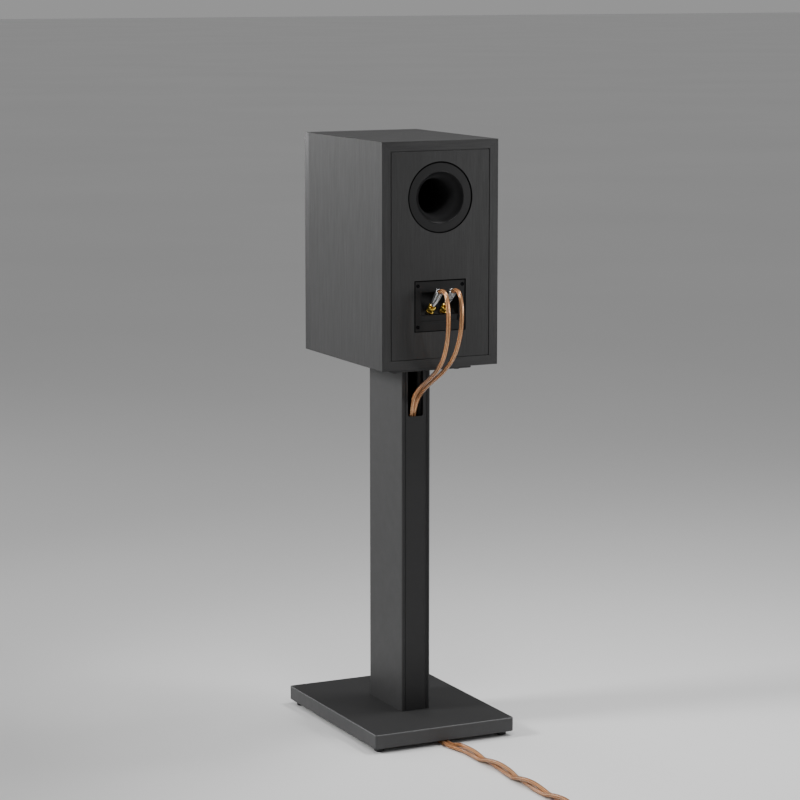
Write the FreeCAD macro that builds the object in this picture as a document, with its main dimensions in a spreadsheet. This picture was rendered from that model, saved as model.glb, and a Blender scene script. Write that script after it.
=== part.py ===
"""Two-way bookshelf speaker bolted on a single-column floor stand, with its twin speaker cable.

Frame: X across (+X is the listener's right), -Y is the front, +Y the rear, +Z up, floor at Z = 0,
origin on the floor under the middle of the base plate. Millimetres throughout.
"""

import FreeCAD, Part
import math
import os
import re
import Sketcher

DIMENSIONS = (
    # cabinet
    ("cabinet_width", 203.0),
    ("cabinet_depth", 295.0),
    ("cabinet_height", 358.0),
    ("panel_thickness", 15.0),
    ("baffle_thickness", 18.0),
    ("rear_step", 2.0),
    ("rear_gap", 1.1),
    ("baffle_round", 2.0),
    ("brace_thickness", 12.0),
    ("brace_height", 196.0),
    ("wadding_thickness", 11.0),
    # port
    ("port_height", 269.0),
    ("port_flange_radius", 55.0),
    ("port_mouth_radius", 40.0),
    ("port_bore_radius", 27.5),
    ("port_tube_wall", 2.5),
    ("port_flare_depth", 35.0),
    ("port_length", 165.0),
    ("ring_recess", 1.0),
    # terminals
    ("cup_height", 98.7),
    ("cup_width", 88.0),
    ("cup_tall", 79.0),
    ("cup_flange", 2.5),
    ("cup_wall", 2.5),
    ("opening_width", 66.0),
    ("opening_top", 22.2),
    ("opening_bottom", 24.8),
    ("cup_ledge", 10.0),
    ("cup_screw_x", 39.0),
    ("cup_screw_z", 32.5),
    ("post_spacing", 23.6),
    ("post_radius", 3.0),
    ("post_bore_radius", 2.1),
    ("nut_radius", 6.3),
    ("nut_length", 10.0),
    ("thread_clearance", 0.05),
    ("pin_radius", 2.0),
    ("sleeve_end_radius", 6.0),
    ("sleeve_tip_radius", 3.9),
    ("sleeve_length", 33.0),
    # drivers
    ("woofer_height", 108.0),
    ("woofer_radius", 83.0),
    ("woofer_hole_radius", 72.0),
    ("cone_radius", 56.0),
    ("coil_radius", 17.9),
    ("tweeter_height", 268.0),
    ("tweeter_radius", 52.0),
    ("tweeter_hole_radius", 44.0),
    ("dome_radius", 12.7),
    # stand
    ("foot_height", 8.0),
    ("foot_radius", 8.0),
    ("base_width", 248.0),
    ("base_depth", 340.0),
    ("base_thickness", 23.0),
    ("base_skin", 8.0),
    ("base_rim", 26.0),
    ("base_corner", 4.0),
    ("base_edge", 1.2),
    ("foot_inset_x", 14.0),
    ("foot_inset_y", 18.0),
    ("column_width", 50.0),
    ("column_depth", 121.0),
    ("column_height", 570.5),
    ("column_wall", 2.5),
    ("slot_width", 27.0),
    ("slot_depth", 82.6),
    ("slot_corner", 3.5),
    ("plate_width", 145.0),
    ("plate_depth", 234.0),
    ("plate_thickness", 5.0),
    ("plate_corner", 6.0),
    ("pad_thickness", 3.0),
    ("pad_radius", 15.0),
    ("fixing_spacing_x", 110.0),
    ("fixing_spacing_y", 190.0),
    # cable
    ("conductor_radius", 3.5),
    ("pair_radius", 7.3),
    ("coil_inner_radius", 52.0),
    ("coil_outer_radius", 82.0),
)
ALIASES = {alias for alias, _ in DIMENSIONS}

doc = FreeCAD.newDocument("BookshelfSpeaker")
sheet = doc.addObject("Spreadsheet::Sheet", "Dimensions")
for row, (alias, size) in enumerate(DIMENSIONS, start=1):
    sheet.set(f"A{row}", alias)
    sheet.set(f"B{row}", str(size))
    sheet.setAlias(f"B{row}", alias)
doc.recompute()

nodes = []


# ---------------------------------------------------------------- helpers


def point(x, y, z=0.0):
    return FreeCAD.Vector(x, y, z)


def with_sheet(expression):
    """The expression with every alias written as a cell of the sheet."""
    return re.sub(
        r"[a-z_]+",
        lambda word: f"Dimensions.{word.group()}" if word.group() in ALIASES else word.group(),
        str(expression),
    )


def number(expression):
    """What an expression of sheet aliases comes to, in millimetres."""
    return float(sheet.evalExpression(with_sheet(expression)))


def bind(feature, target, expression):
    feature.setExpression(target, with_sheet(expression))


def turn(axis, angle):
    return FreeCAD.Rotation(FreeCAD.Vector(*axis), angle)


ACROSS = (1, 0, 0)
UP = (0, 0, 1)
# How a local frame is laid in the speaker's frame, named by where its own axes go.
Y_TO_UP = turn(ACROSS, 90)
Y_TO_DOWN = turn(ACROSS, -90)
Y_TO_FRONT = turn(UP, 180)
Y_TO_REAR = turn(UP, 0)
Y_TO_POST = turn(ACROSS, 45)
XY_TO_YZ = turn((1, 1, 1), 120)
PLAIN = turn(UP, 0)


def at(x, y, z, rotation=PLAIN):
    return FreeCAD.Placement(point(x, y, z), rotation)


def keep(feature, label):
    """Marks a feature as a finished sub-part under its own label."""
    feature.Label = label
    nodes.append(feature)
    return feature


def new_sketch(body, name):
    sketch = body.newObject("Sketcher::SketchObject", name)
    planes = [plane for plane in body.Origin.OriginFeatures if plane.Role == "XY_Plane"]
    sketch.AttachmentSupport = [(planes[0], "")]
    sketch.MapMode = "FlatFace"
    return sketch


def fix_coordinate(sketch, kind, side, end, expression, name, axis):
    """Holds one coordinate of a side's end at an expression's value."""
    size = number(expression)
    if abs(size) < 1e-9:
        sketch.addConstraint(Sketcher.Constraint("PointOnObject", side, end, axis))
        return
    index = sketch.addConstraint(Sketcher.Constraint(kind, -1, 1, side, end, size))
    sketch.renameConstraint(index, name)
    bind(sketch, f"Constraints.{name}", expression)


def arc_side(start, finish, radius):
    """Arc from start to finish: a positive radius turns left on the way, a negative one right."""
    chord = finish - start
    rise = math.sqrt(max(radius * radius - (chord.Length / 2) ** 2, 0.0))
    left = point(-chord.y, chord.x).normalize()
    centre = start + chord * 0.5 + left * math.copysign(rise, radius)
    first, last = (start, finish) if radius > 0 else (finish, start)
    angles = [math.atan2(end.y - centre.y, end.x - centre.x) for end in (first, last)]
    circle = Part.Circle(centre, point(0, 0, 1), abs(radius))
    return Part.ArcOfCircle(circle, angles[0], angles[1])


def draw_outline(sketch, corners, bows):
    """A closed outline through corners, pairs of expressions. bows gives a side's arc radius by number."""
    places = [point(number(x), number(y)) for x, y in corners]
    ends = []
    for i, start in enumerate(places):
        finish = places[(i + 1) % len(places)]
        if i in bows:
            radius = number(bows[i])
            side = sketch.addGeometry(arc_side(start, finish, radius), False)
            ends.append((side, 1, 2) if radius > 0 else (side, 2, 1))
        else:
            side = sketch.addGeometry(Part.LineSegment(start, finish), False)
            ends.append((side, 1, 2))
    for i, (side, _, last) in enumerate(ends):
        following, first, _ = ends[(i + 1) % len(ends)]
        sketch.addConstraint(Sketcher.Constraint("Coincident", side, last, following, first))
    for i, (x, y) in enumerate(corners):
        side, first, _ = ends[i]
        fix_coordinate(sketch, "DistanceX", side, first, x, f"across{i}", -2)
        fix_coordinate(sketch, "DistanceY", side, first, y, f"along{i}", -1)
    for i, radius in bows.items():
        index = sketch.addConstraint(Sketcher.Constraint("Radius", ends[i][0], abs(number(radius))))
        sketch.renameConstraint(index, f"bow{i}")
        bind(sketch, f"Constraints.bow{i}", f"abs({radius})")


def prism(label, corners, length, place, bows=None):
    """A PartDesign body: the outline in its own XY plane, padded along its own Z."""
    body = doc.addObject("PartDesign::Body", label)
    sketch = new_sketch(body, f"{label}_outline")
    draw_outline(sketch, corners, bows or {})
    pad = body.newObject("PartDesign::Pad", f"{label}_pad")
    pad.Profile = sketch
    pad.Length = number(length)
    bind(pad, "Length", length)
    body.Placement = place
    return body


def turned(label, corners, place, bows=None):
    """A PartDesign body turned about its own Y axis: corners are (radius, place along the axis)."""
    body = doc.addObject("PartDesign::Body", label)
    sketch = new_sketch(body, f"{label}_profile")
    draw_outline(sketch, corners, bows or {})
    spin = body.newObject("PartDesign::Revolution", f"{label}_turning")
    spin.Profile = sketch
    spin.ReferenceAxis = (sketch, ["V_Axis"])
    spin.Angle = 360
    body.Placement = place
    return body


def rectangle(width, height):
    """Corners of a rectangle about the origin."""
    return [
        (f"-({width}) / 2", f"-({height}) / 2"),
        (f"({width}) / 2", f"-({height}) / 2"),
        (f"({width}) / 2", f"({height}) / 2"),
        (f"-({width}) / 2", f"({height}) / 2"),
    ]


def dome_bow(reach, rise):
    """Radius of the arc that climbs by rise over reach and ends level."""
    return f"(({reach}) * ({reach}) + ({rise}) * ({rise})) / (2 * ({rise}))"


def ring(inner, outer, low, high):
    """Corners of a plain ring's section."""
    return [(inner, low), (outer, low), (outer, high), (inner, high)]


def round_edges(body, radius, chosen):
    """A PartDesign fillet on the body's edges for which chosen(edge) is true."""
    doc.recompute()
    solid = body.Tip
    names = [f"Edge{i}" for i, edge in enumerate(solid.Shape.Edges, start=1) if chosen(edge)]
    fillet = body.newObject("PartDesign::Fillet", f"{body.Name}_round")
    fillet.Base = (solid, names)
    fillet.Radius = number(radius)
    bind(fillet, "Radius", radius)
    return body


def along_pad(edge):
    """Whether an edge runs along the pad's own Z."""
    ends = [vertex.Point for vertex in edge.Vertexes]
    return len(ends) == 2 and math.hypot(ends[1].x - ends[0].x, ends[1].y - ends[0].y) < 1e-6


def block(label, width, depth, height, place):
    """A Part::Box centred on its placement in X and Y, standing on it."""
    feature = doc.addObject("Part::Box", label)
    for target, size in (("Length", width), ("Width", depth), ("Height", height)):
        setattr(feature, target, number(size))
        bind(feature, target, size)
    corner = point(-number(width) / 2, -number(depth) / 2)
    feature.Placement = place.multiply(FreeCAD.Placement(corner, PLAIN))
    return feature


def rod(label, radius, length, place):
    """A Part::Cylinder from its placement along the placement's own Z."""
    feature = doc.addObject("Part::Cylinder", label)
    feature.Radius = number(radius)
    feature.Height = number(length)
    bind(feature, "Radius", radius)
    bind(feature, "Height", length)
    feature.Placement = place
    return feature


def together(label, features):
    compound = doc.addObject("Part::Compound", label)
    compound.Links = features
    return compound


def joined(label, features):
    fuse = doc.addObject("Part::MultiFuse", label)
    fuse.Shapes = features
    return fuse


def without(label, base, tools):
    """The base with every tool cut out of it."""
    cut = doc.addObject("Part::Cut", label)
    cut.Base = base
    cut.Tool = tools[0] if len(tools) == 1 else together(f"{label}_tools", tools)
    return cut


def copies(label, master, places):
    """One node of identical separate solids, copies of a master body."""
    doc.recompute()
    feature = doc.addObject("Part::Feature", label)
    shapes = []
    for place in places:
        shape = master.Shape.copy()
        shape.Placement = place.multiply(master.Shape.Placement)
        shapes.append(shape)
    feature.Shape = Part.makeCompound(shapes)
    return keep(feature, label)


def four(x, y):
    """The four corners of a rectangle of half sides x and y, as (x, y) pairs."""
    return [(sx * x, sy * y) for sx in (-1, 1) for sy in (-1, 1)]


def arc_of_turn(before, corner, after):
    """The tangent arc at a corner of a route: where it starts, its middle, where it ends, its radius."""
    into = corner - before
    out = after - corner
    reach = 0.45 * min(into.Length, out.Length)
    into.normalize()
    out.normalize()
    half_turn = into.getAngle(out) / 2
    radius = reach / math.tan(half_turn)
    start = corner - into * reach
    finish = corner + out * reach
    towards_centre = (out - into).normalize()
    inside = radius / math.cos(half_turn) - radius
    return start, corner + towards_centre * inside, finish, radius


def bent_tube(label, route, radius):
    """A round tube along straight runs joined by tangent arcs; prints its smallest radius and length."""
    places = [point(*place) for place in route]
    edges = []
    radii = []
    reached = places[0]
    for before, corner, after in zip(places, places[1:], places[2:]):
        start, middle, finish, bend = arc_of_turn(before, corner, after)
        edges.append(Part.LineSegment(reached, start).toShape())
        edges.append(Part.Arc(start, middle, finish).toShape())
        radii.append(bend)
        reached = finish
    edges.append(Part.LineSegment(reached, places[-1]).toShape())
    path = Part.Wire(edges)
    section = Part.Wire([Part.Circle(places[0], places[1] - places[0], radius).toShape()])
    shape = path.makePipeShell([section], True, False)
    expected = math.pi * radius * radius * path.Length
    print(
        label,
        "length", round(path.Length, 1),
        "radii", [round(bend) for bend in radii],
        "volume ratio", round(shape.Volume / expected, 4),
    )
    return shape


def tube_node(label, route, radius):
    feature = doc.addObject("Part::Feature", label)
    feature.Shape = bent_tube(label, route, radius)
    return keep(feature, label)


# ---------------------------------------------------------------- places that several pieces share

REAR = number("cabinet_depth / 2")
FRONT = -REAR
STAND_TOP = number("foot_height + base_thickness + column_height + plate_thickness")
FLOOR_OF_CABINET = STAND_TOP + number("pad_thickness")
BASE_TOP = number("foot_height + base_thickness")
PORT = FLOOR_OF_CABINET + number("port_height")
CUP = FLOOR_OF_CABINET + number("cup_height")
WOOFER = FLOOR_OF_CABINET + number("woofer_height")
TWEETER = FLOOR_OF_CABINET + number("tweeter_height")
WOOFER_FRONT = at(0, FRONT, WOOFER, Y_TO_FRONT)
TWEETER_FRONT = at(0, FRONT, TWEETER, Y_TO_FRONT)
FIXINGS = four(number("fixing_spacing_x / 2"), number("fixing_spacing_y / 2"))
COLUMN_BOLTS = [(x, y) for x in (-17, 17) for y in (-50, 40)]
FEET = four(
    number("base_width / 2 - foot_inset_x"),
    number("base_depth / 2 - foot_inset_y"),
)
# The posts stand square on the cup's 45 degree slope, at these places.
SLOPE = number("-ring_recess - rear_step - cup_ledge")
SLOPE_FOOT = number("cup_ledge - opening_bottom")
POST_Y = REAR + SLOPE - 3.0
POST_Z = CUP + SLOPE_FOOT + 3.0
POSTS = [("positive", number("post_spacing / 2")), ("negative", -number("post_spacing / 2"))]


# ---------------------------------------------------------------- cabinet


def cabinet_panel(label, length, place_x, place_z, angle):
    """A panel with mitred long edges, its outer face turned by angle about Y from facing up."""
    section = [
        (f"-{length} / 2", "0"),
        (f"{length} / 2", "0"),
        (f"{length} / 2 - panel_thickness", "-panel_thickness"),
        (f"panel_thickness - {length} / 2", "-panel_thickness"),
    ]
    rotation = turn((0, 1, 0), angle).multiply(Y_TO_UP)
    depth = "cabinet_depth - baffle_thickness"
    return prism(label, section, depth, at(place_x, REAR, place_z, rotation))


def cabinet_box():
    half = number("cabinet_width / 2")
    tall = number("cabinet_height")
    middle = FLOOR_OF_CABINET + tall / 2
    keep(cabinet_panel("side_right", "cabinet_height", half, middle, 90), "cabinet_side_right")
    keep(cabinet_panel("side_left", "cabinet_height", -half, middle, -90), "cabinet_side_left")
    top = cabinet_panel("top", "cabinet_width", 0, FLOOR_OF_CABINET + tall, 0)
    keep(top, "cabinet_top_panel")
    bottom = cabinet_panel("bottom_blank", "cabinet_width", 0, FLOOR_OF_CABINET, 180)
    holes = [
        rod(f"insert_hole_{i}", "4.55", "panel_thickness", at(x, y, FLOOR_OF_CABINET))
        for i, (x, y) in enumerate(FIXINGS)
    ]
    keep(without("bottom_panel", bottom, holes), "cabinet_bottom_panel")


def rear_panel():
    """Let in flush between the other panels, with a stepped edge that leaves a fine line all round."""
    wide = "cabinet_width - 2 * panel_thickness"
    tall = "cabinet_height - 2 * panel_thickness"
    middle = FLOOR_OF_CABINET + number("cabinet_height / 2")
    low = REAR - number("panel_thickness")
    rotation = turn(ACROSS, -90)
    inner = block("rear_inner", wide, tall, "panel_thickness - rear_step", at(0, low, middle, rotation))
    face = block(
        "rear_face",
        f"{wide} - 2 * rear_gap",
        f"{tall} - 2 * rear_gap",
        "rear_step + 1",
        at(0, REAR - number("rear_step + 1"), middle, rotation),
    )
    cut_depth = 4.0
    tools = [
        rod("port_rebate", "port_flange_radius + 0.9", f"{cut_depth}",
            at(0, REAR - cut_depth, PORT, rotation)),
        rod("port_hole", "port_flange_radius - 8", "panel_thickness", at(0, low, PORT, rotation)),
        block(
            "cup_rebate",
            "cup_width + 1.4",
            "cup_tall + 1.4",
            f"{cut_depth}",
            at(0, REAR - cut_depth, CUP, rotation),
        ),
        block(
            "cup_hole",
            "opening_width + 2 * cup_wall + 1",
            "opening_top + opening_bottom + 2 * cup_wall + 1",
            "panel_thickness",
            at(0, low, CUP + number("opening_top - opening_bottom") / 2, rotation),
        ),
    ]
    tools += [
        rod(f"cup_pilot_{i}", "1.5", "panel_thickness", at(x, low + 0.6, CUP + z, rotation))
        for i, (x, z) in enumerate(four(number("cup_screw_x"), number("cup_screw_z")))
    ]
    keep(without("rear_cut", joined("rear_blank", [inner, face]), tools), "rear_panel")


def front_baffle():
    blank = prism(
        "baffle_blank",
        rectangle("cabinet_width", "cabinet_height"),
        "baffle_thickness",
        at(0, FRONT + number("baffle_thickness"), FLOOR_OF_CABINET + number("cabinet_height / 2"), Y_TO_UP),
    )
    thick = number("baffle_thickness")
    round_edges(blank, "baffle_round", lambda edge: edge.CenterOfMass.z > thick - 1e-3)
    back = turn(ACROSS, -90)
    tools = [
        rod("woofer_rebate", "woofer_radius + 0.4", "5", at(0, FRONT, WOOFER, back)),
        rod("woofer_hole", "woofer_hole_radius", "baffle_thickness", at(0, FRONT, WOOFER, back)),
        rod("tweeter_rebate", "tweeter_radius + 0.4", "4", at(0, FRONT, TWEETER, back)),
        rod("tweeter_hole", "tweeter_hole_radius", "baffle_thickness", at(0, FRONT, TWEETER, back)),
    ]
    pilots = driver_screw_places()
    for i, (x, z) in enumerate(pilots):
        tools.append(rod(f"driver_pilot_{i}", "1.65", "15", at(x, FRONT + 3, z, back)))
    keep(without("baffle_cut", blank, tools), "front_baffle")


def driver_screw_places():
    """(x, z) of the four woofer screws and then the four tweeter screws."""
    woofer = number("woofer_radius - 6")
    tweeter = number("tweeter_radius - 5")
    diagonal = math.sqrt(0.5)
    places = [(x, WOOFER + z) for x, z in four(woofer * diagonal, woofer * diagonal)]
    places += [(x, TWEETER + z) for x, z in four(tweeter * diagonal, tweeter * diagonal)]
    return places


def brace_and_wadding():
    inside = number("cabinet_width - 2 * panel_thickness")
    deep = "cabinet_depth - baffle_thickness - panel_thickness"
    middle = number("baffle_thickness - panel_thickness") / 2
    height = FLOOR_OF_CABINET + number("brace_height")
    inner_width = "cabinet_width - 2 * panel_thickness"
    blank = block("brace_blank", inner_width, deep, "brace_thickness", at(0, middle, height))
    windows = []
    for i, side in enumerate((-1, 1)):
        window = prism(
            f"brace_window_{i}",
            rectangle(f"{inside} - 50", "96"),
            "brace_thickness + 2",
            at(0, middle + side * 60, height - 1),
        )
        windows.append(round_edges(window, "18", along_pad))
    keep(without("brace_cut", blank, windows), "cabinet_brace")
    sheets = []
    wall = inside / 2 - number("wadding_thickness / 2") - 0.3
    for i, side in enumerate((-1, 1)):
        for low, tall in ((FLOOR_OF_CABINET + 17, 176), (height + number("brace_thickness") + 2, 130)):
            name = f"wadding_{i}_{tall}"
            sheets.append(block(name, "wadding_thickness", "210", f"{tall}", at(side * wall, 10, low)))
    keep(together("wadding", sheets), "damping_wadding")


# ---------------------------------------------------------------- port


def port_flare():
    """Ring and bell mouth: the bore narrows along an arc that ends along the axis."""
    bell = dome_bow("port_flare_depth", "port_mouth_radius - port_bore_radius")
    face = "-ring_recess"
    back = "-ring_recess - port_flare_depth"
    socket = "port_bore_radius + port_tube_wall + 0.05"
    corners = [
        ("port_mouth_radius", face),
        ("port_mouth_radius + 0.8", f"{face} + 0.6"),
        ("port_mouth_radius + 1.6", face),
        ("port_flange_radius - 1", face),
        ("port_flange_radius", f"{face} - 1"),
        ("port_flange_radius", f"{face} - 3"),
        ("port_flange_radius - 9", f"{face} - 3"),
        ("port_flange_radius - 9", f"{face} - 8"),
        ("port_flange_radius - 20", f"{face} - 24"),
        ("port_flange_radius - 20", f"{back} - 14"),
        (socket, f"{back} - 14"),
        (socket, back),
        ("port_bore_radius", back),
    ]
    body = turned("flare", corners, at(0, REAR, PORT, Y_TO_REAR), {12: f"-({bell})"})
    keep(body, "port_flare")


def port_tube():
    """Straight tube pushed into the flare's socket, belled out at its inner end."""
    start = "-ring_recess - port_flare_depth - 0.1"
    bell = "-port_length + 16"
    corners = [
        ("port_bore_radius", start),
        ("port_bore_radius", bell),
        ("port_bore_radius + 12", "-port_length"),
        ("port_bore_radius + 14", "-port_length + 1"),
        ("port_bore_radius + port_tube_wall", f"{bell} + 1"),
        ("port_bore_radius + port_tube_wall", start),
    ]
    bows = {1: "-16.7", 3: "15.3"}
    keep(turned("tube", corners, at(0, REAR, PORT, Y_TO_REAR), bows), "port_tube")


# ---------------------------------------------------------------- terminals


def terminal_cup():
    """Recessed cup: a plate with an opening, a ledge inside its lower lip and a 45 degree slope."""
    wide = number("opening_width + 2 * cup_wall")
    face = "-ring_recess"
    flange = block(
        "cup_flange_plate",
        "cup_width",
        "cup_tall",
        "cup_flange",
        at(0, REAR - number("ring_recess + cup_flange"), CUP, turn(ACROSS, -90)),
    )
    rise = "opening_top + opening_bottom - cup_ledge"
    ledge_y = f"{face} - rear_step"
    cavity_corners = [
        ("3", "opening_top"),
        ("3", "-opening_bottom"),
        (ledge_y, "-opening_bottom"),
        (ledge_y, "cup_ledge - opening_bottom"),
        (f"{ledge_y} - cup_ledge", "cup_ledge - opening_bottom"),
        (f"{ledge_y} - cup_ledge - ({rise})", "opening_top"),
    ]
    cavity = prism(
        "cup_cavity",
        cavity_corners,
        "opening_width",
        at(-number("opening_width / 2"), REAR, CUP, XY_TO_YZ),
    )
    skin = "cup_wall * 1.4142"
    shell_corners = [
        (face, "opening_top + cup_wall"),
        (face, "-opening_bottom - cup_wall"),
        (f"{ledge_y} - cup_wall", "-opening_bottom - cup_wall"),
        (f"{ledge_y} - cup_wall", "cup_ledge - opening_bottom - cup_wall"),
        (f"{ledge_y} - cup_ledge - {skin} + cup_wall", "cup_ledge - opening_bottom - cup_wall"),
        (f"{ledge_y} - cup_ledge - ({rise}) - {skin}", "opening_top"),
        (f"{ledge_y} - cup_ledge - ({rise}) - {skin}", "opening_top + cup_wall"),
    ]
    shell = prism(
        "cup_shell",
        shell_corners,
        "opening_width + 2 * cup_wall",
        at(-wide / 2, REAR, CUP, XY_TO_YZ),
    )
    tools = [cavity]
    for i, spot in enumerate(cup_screw_places()):
        tools.append(screw_hole(f"cup_screw_hole_{i}", "3.2", "1.45", "6", spot))
    for name, x in POSTS:
        hole = rod(f"post_hole_{name}", "4.0", "12", at(x, POST_Y, POST_Z, turn(ACROSS, -45)))
        hole.Placement = hole.Placement.multiply(at(0, 0, -6))
        tools.append(hole)
    keep(without("cup_cut", joined("cup_blank", [flange, shell]), tools), "terminal_cup")


def wood_screw(label, head, shank, length, place):
    """Countersunk screw whose head's face is at its own origin, pointing along -Y, with a cross recess."""
    corners = [
        ("0", "0"),
        (head, "0"),
        (head, "-0.5"),
        (shank, f"-0.5 - ({head}) + ({shank})"),
        (shank, f"-({length}) + 2"),
        ("0", f"-({length})"),
    ]
    blank = turned(f"{label}_turned", corners, place)
    recess = 1.2
    arms = []
    for i in range(2):
        quarter = turn((0, 1, 0), i * 90).multiply(turn(ACROSS, -90))
        arms.append(block(f"{label}_arm_{i}", "3.4", "0.8", "1.4", place.multiply(at(0, -recess, 0, quarter))))
    return without(label, blank, arms)


def screw_hole(label, head, shank, depth, place):
    """Tool for a countersunk screw: the head's face lies at the placement, the hole runs along -Y."""
    corners = [
        ("0", "1"),
        (f"{head} + 0.1", "1"),
        (f"{head} + 0.1", "-0.55"),
        (f"{shank} + 0.15", f"-0.5 - ({head}) + ({shank})"),
        (f"{shank} + 0.15", f"-({depth})"),
        ("0", f"-({depth})"),
    ]
    return turned(label, corners, place)


def cup_screw_places():
    """Placements of the cup's screws, at their heads' faces."""
    spots = four(number("cup_screw_x"), number("cup_screw_z"))
    return [at(x, REAR - number("ring_recess") - 0.05, CUP + z) for x, z in spots]


def driver_screw_spots(first, last, depth):
    """Placements of some of the drivers' screws, their heads' faces depth behind the baffle's face."""
    return [at(x, FRONT + depth, z, Y_TO_FRONT) for x, z in driver_screw_places()[first:last]]


def terminal_screws():
    master = wood_screw("cup_screw", "3.2", "1.45", "13", at(0, 0, 0))
    copies("terminal_screws", master, cup_screw_places())


def on_post(x, along=0.0):
    """Placement on a post's axis, its own Y pointing out along the post."""
    slant = math.sqrt(0.5) * along
    return at(x, POST_Y + slant, POST_Z + slant, Y_TO_POST)


def pair_on_posts(label, masters):
    """One node holding a copy of each master on both posts."""
    doc.recompute()
    shapes = []
    for _, x in POSTS:
        for master in masters:
            shape = master.Shape.copy()
            shape.Placement = on_post(x)
            shapes.append(shape)
    feature = doc.addObject("Part::Feature", label)
    feature.Shape = Part.makeCompound(shapes)
    return keep(feature, label)


def binding_posts():
    origin = at(0, 0, 0)
    stud = turned(
        "stud",
        [
            ("post_bore_radius", "-5"),
            ("post_bore_radius", "13"),
            ("post_radius - 0.5", "13"),
            ("post_radius", "12.5"),
            ("post_radius", "4"),
            ("nut_radius", "4"),
            ("nut_radius", "2.05"),
            ("post_radius", "2.05"),
            ("post_radius", "-15.5"),
            ("post_radius - 0.5", "-16"),
            ("0", "-16"),
            ("0", "-5"),
        ],
        origin,
    )
    pair_on_posts("binding_post_studs", [stud])
    bush = turned(
        "bush",
        [
            ("post_radius + thread_clearance", "2"),
            ("7.5", "2"),
            ("7.5", "0.05"),
            ("3.95", "0.05"),
            ("3.95", "-2"),
            ("post_radius + thread_clearance", "-2"),
        ],
        origin,
    )
    disc = turned("inner_disc", ring("post_radius + thread_clearance", "6.5", "-4", "-2.55"), origin)
    # The cup's ledge keeps the bush from turning, so its collar has a flat there.
    under_ledge = at(0, 0, 0, turn(ACROSS, -45)).multiply(at(0, 0, -2.99 - 10))
    ledge = block("bush_flat", "20", "20", "10", under_ledge)
    pair_on_posts("binding_post_insulators", [without("keyed_bush", bush, [ledge]), disc])
    flats = []
    for i in range(6):
        angle = math.radians(60 * i)
        flats.append((f"5.5 * {math.cos(angle):.6f}", f"5.5 * {math.sin(angle):.6f}"))
    hexagon = prism("lock_nut_blank", flats, "4.5", at(0, -8.55, 0, turn(ACROSS, -90)))
    bore = rod("lock_nut_bore", "post_radius + thread_clearance", "6", at(0, -9, 0, turn(ACROSS, -90)))
    lock_nut = without("lock_nut", hexagon, [bore])
    lug_ring = turned("lug_ring", ring("post_radius + thread_clearance", "4.6", "-9.4", "-8.6"), origin)
    lug_tail = block("lug_tail", "3.6", "10", "0.8", at(0, -9.4, 8.5, turn(ACROSS, -90)))
    lug = joined("lug", [lug_ring, lug_tail])
    pair_on_posts("binding_post_rear_hardware", [lock_nut, lug])
    for name, x in POSTS:
        flat_ring = ring("post_radius + 0.08", "nut_radius", "4.05", "4.85")
        washer = turned(f"washer_{name}", flat_ring, on_post(x))
        keep(washer, f"binding_post_washer_{name}")
        nut = turned(
            f"nut_{name}",
            [
                ("post_radius + thread_clearance", "4.9"),
                ("nut_radius - 0.4", "4.9"),
                ("nut_radius", "5.3"),
                ("nut_radius", "nut_length + 4.3"),
                ("nut_radius - 0.6", "nut_length + 4.9"),
                ("nut_radius - 2", "nut_length + 4.9"),
                ("post_radius + thread_clearance", "nut_length + 3.7"),
            ],
            on_post(x),
        )
        keep(nut, f"binding_post_nut_{name}")


SLEEVE_START = 18.8


def plug_contact():
    """Banana pin with a bulged middle and the solid metal barrel behind it."""
    return turned(
        "plug_contact",
        [
            ("0", "-4"),
            ("1.2", "-4"),
            ("pin_radius - 0.2", "-2"),
            ("pin_radius", "5"),
            ("pin_radius", f"{SLEEVE_START} + 0.7"),
            ("2.9", f"{SLEEVE_START} + 0.7"),
            ("2.9", f"{SLEEVE_START} + 19"),
            ("0", f"{SLEEVE_START} + 19"),
        ],
        at(0, 0, 0),
    )


def plug_sleeve():
    """Tapered clear sleeve, open at its wide end where the conductor goes in."""
    end = f"{SLEEVE_START} + sleeve_length"
    return turned(
        "plug_sleeve",
        [
            ("pin_radius + 0.15", f"{SLEEVE_START}"),
            ("sleeve_tip_radius - 0.5", f"{SLEEVE_START}"),
            ("sleeve_tip_radius", f"{SLEEVE_START} + 0.8"),
            ("sleeve_end_radius", f"{end} - 12"),
            ("sleeve_end_radius", f"{end} - 0.6"),
            ("sleeve_end_radius - 0.6", end),
            ("sleeve_end_radius - 1.2", end),
            ("sleeve_end_radius - 1.2", f"{end} - 12"),
            ("3.05", f"{SLEEVE_START} + 12"),
            ("3.05", f"{SLEEVE_START} + 0.6"),
            ("pin_radius + 0.15", f"{SLEEVE_START} + 0.6"),
        ],
        at(0, 0, 0),
    )


# ---------------------------------------------------------------- crossover and wiring

BOARD_Y = 50.0
BOARD_Z = FLOOR_OF_CABINET + number("panel_thickness") + 8.0
BOARD_THICKNESS = 1.6


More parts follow.
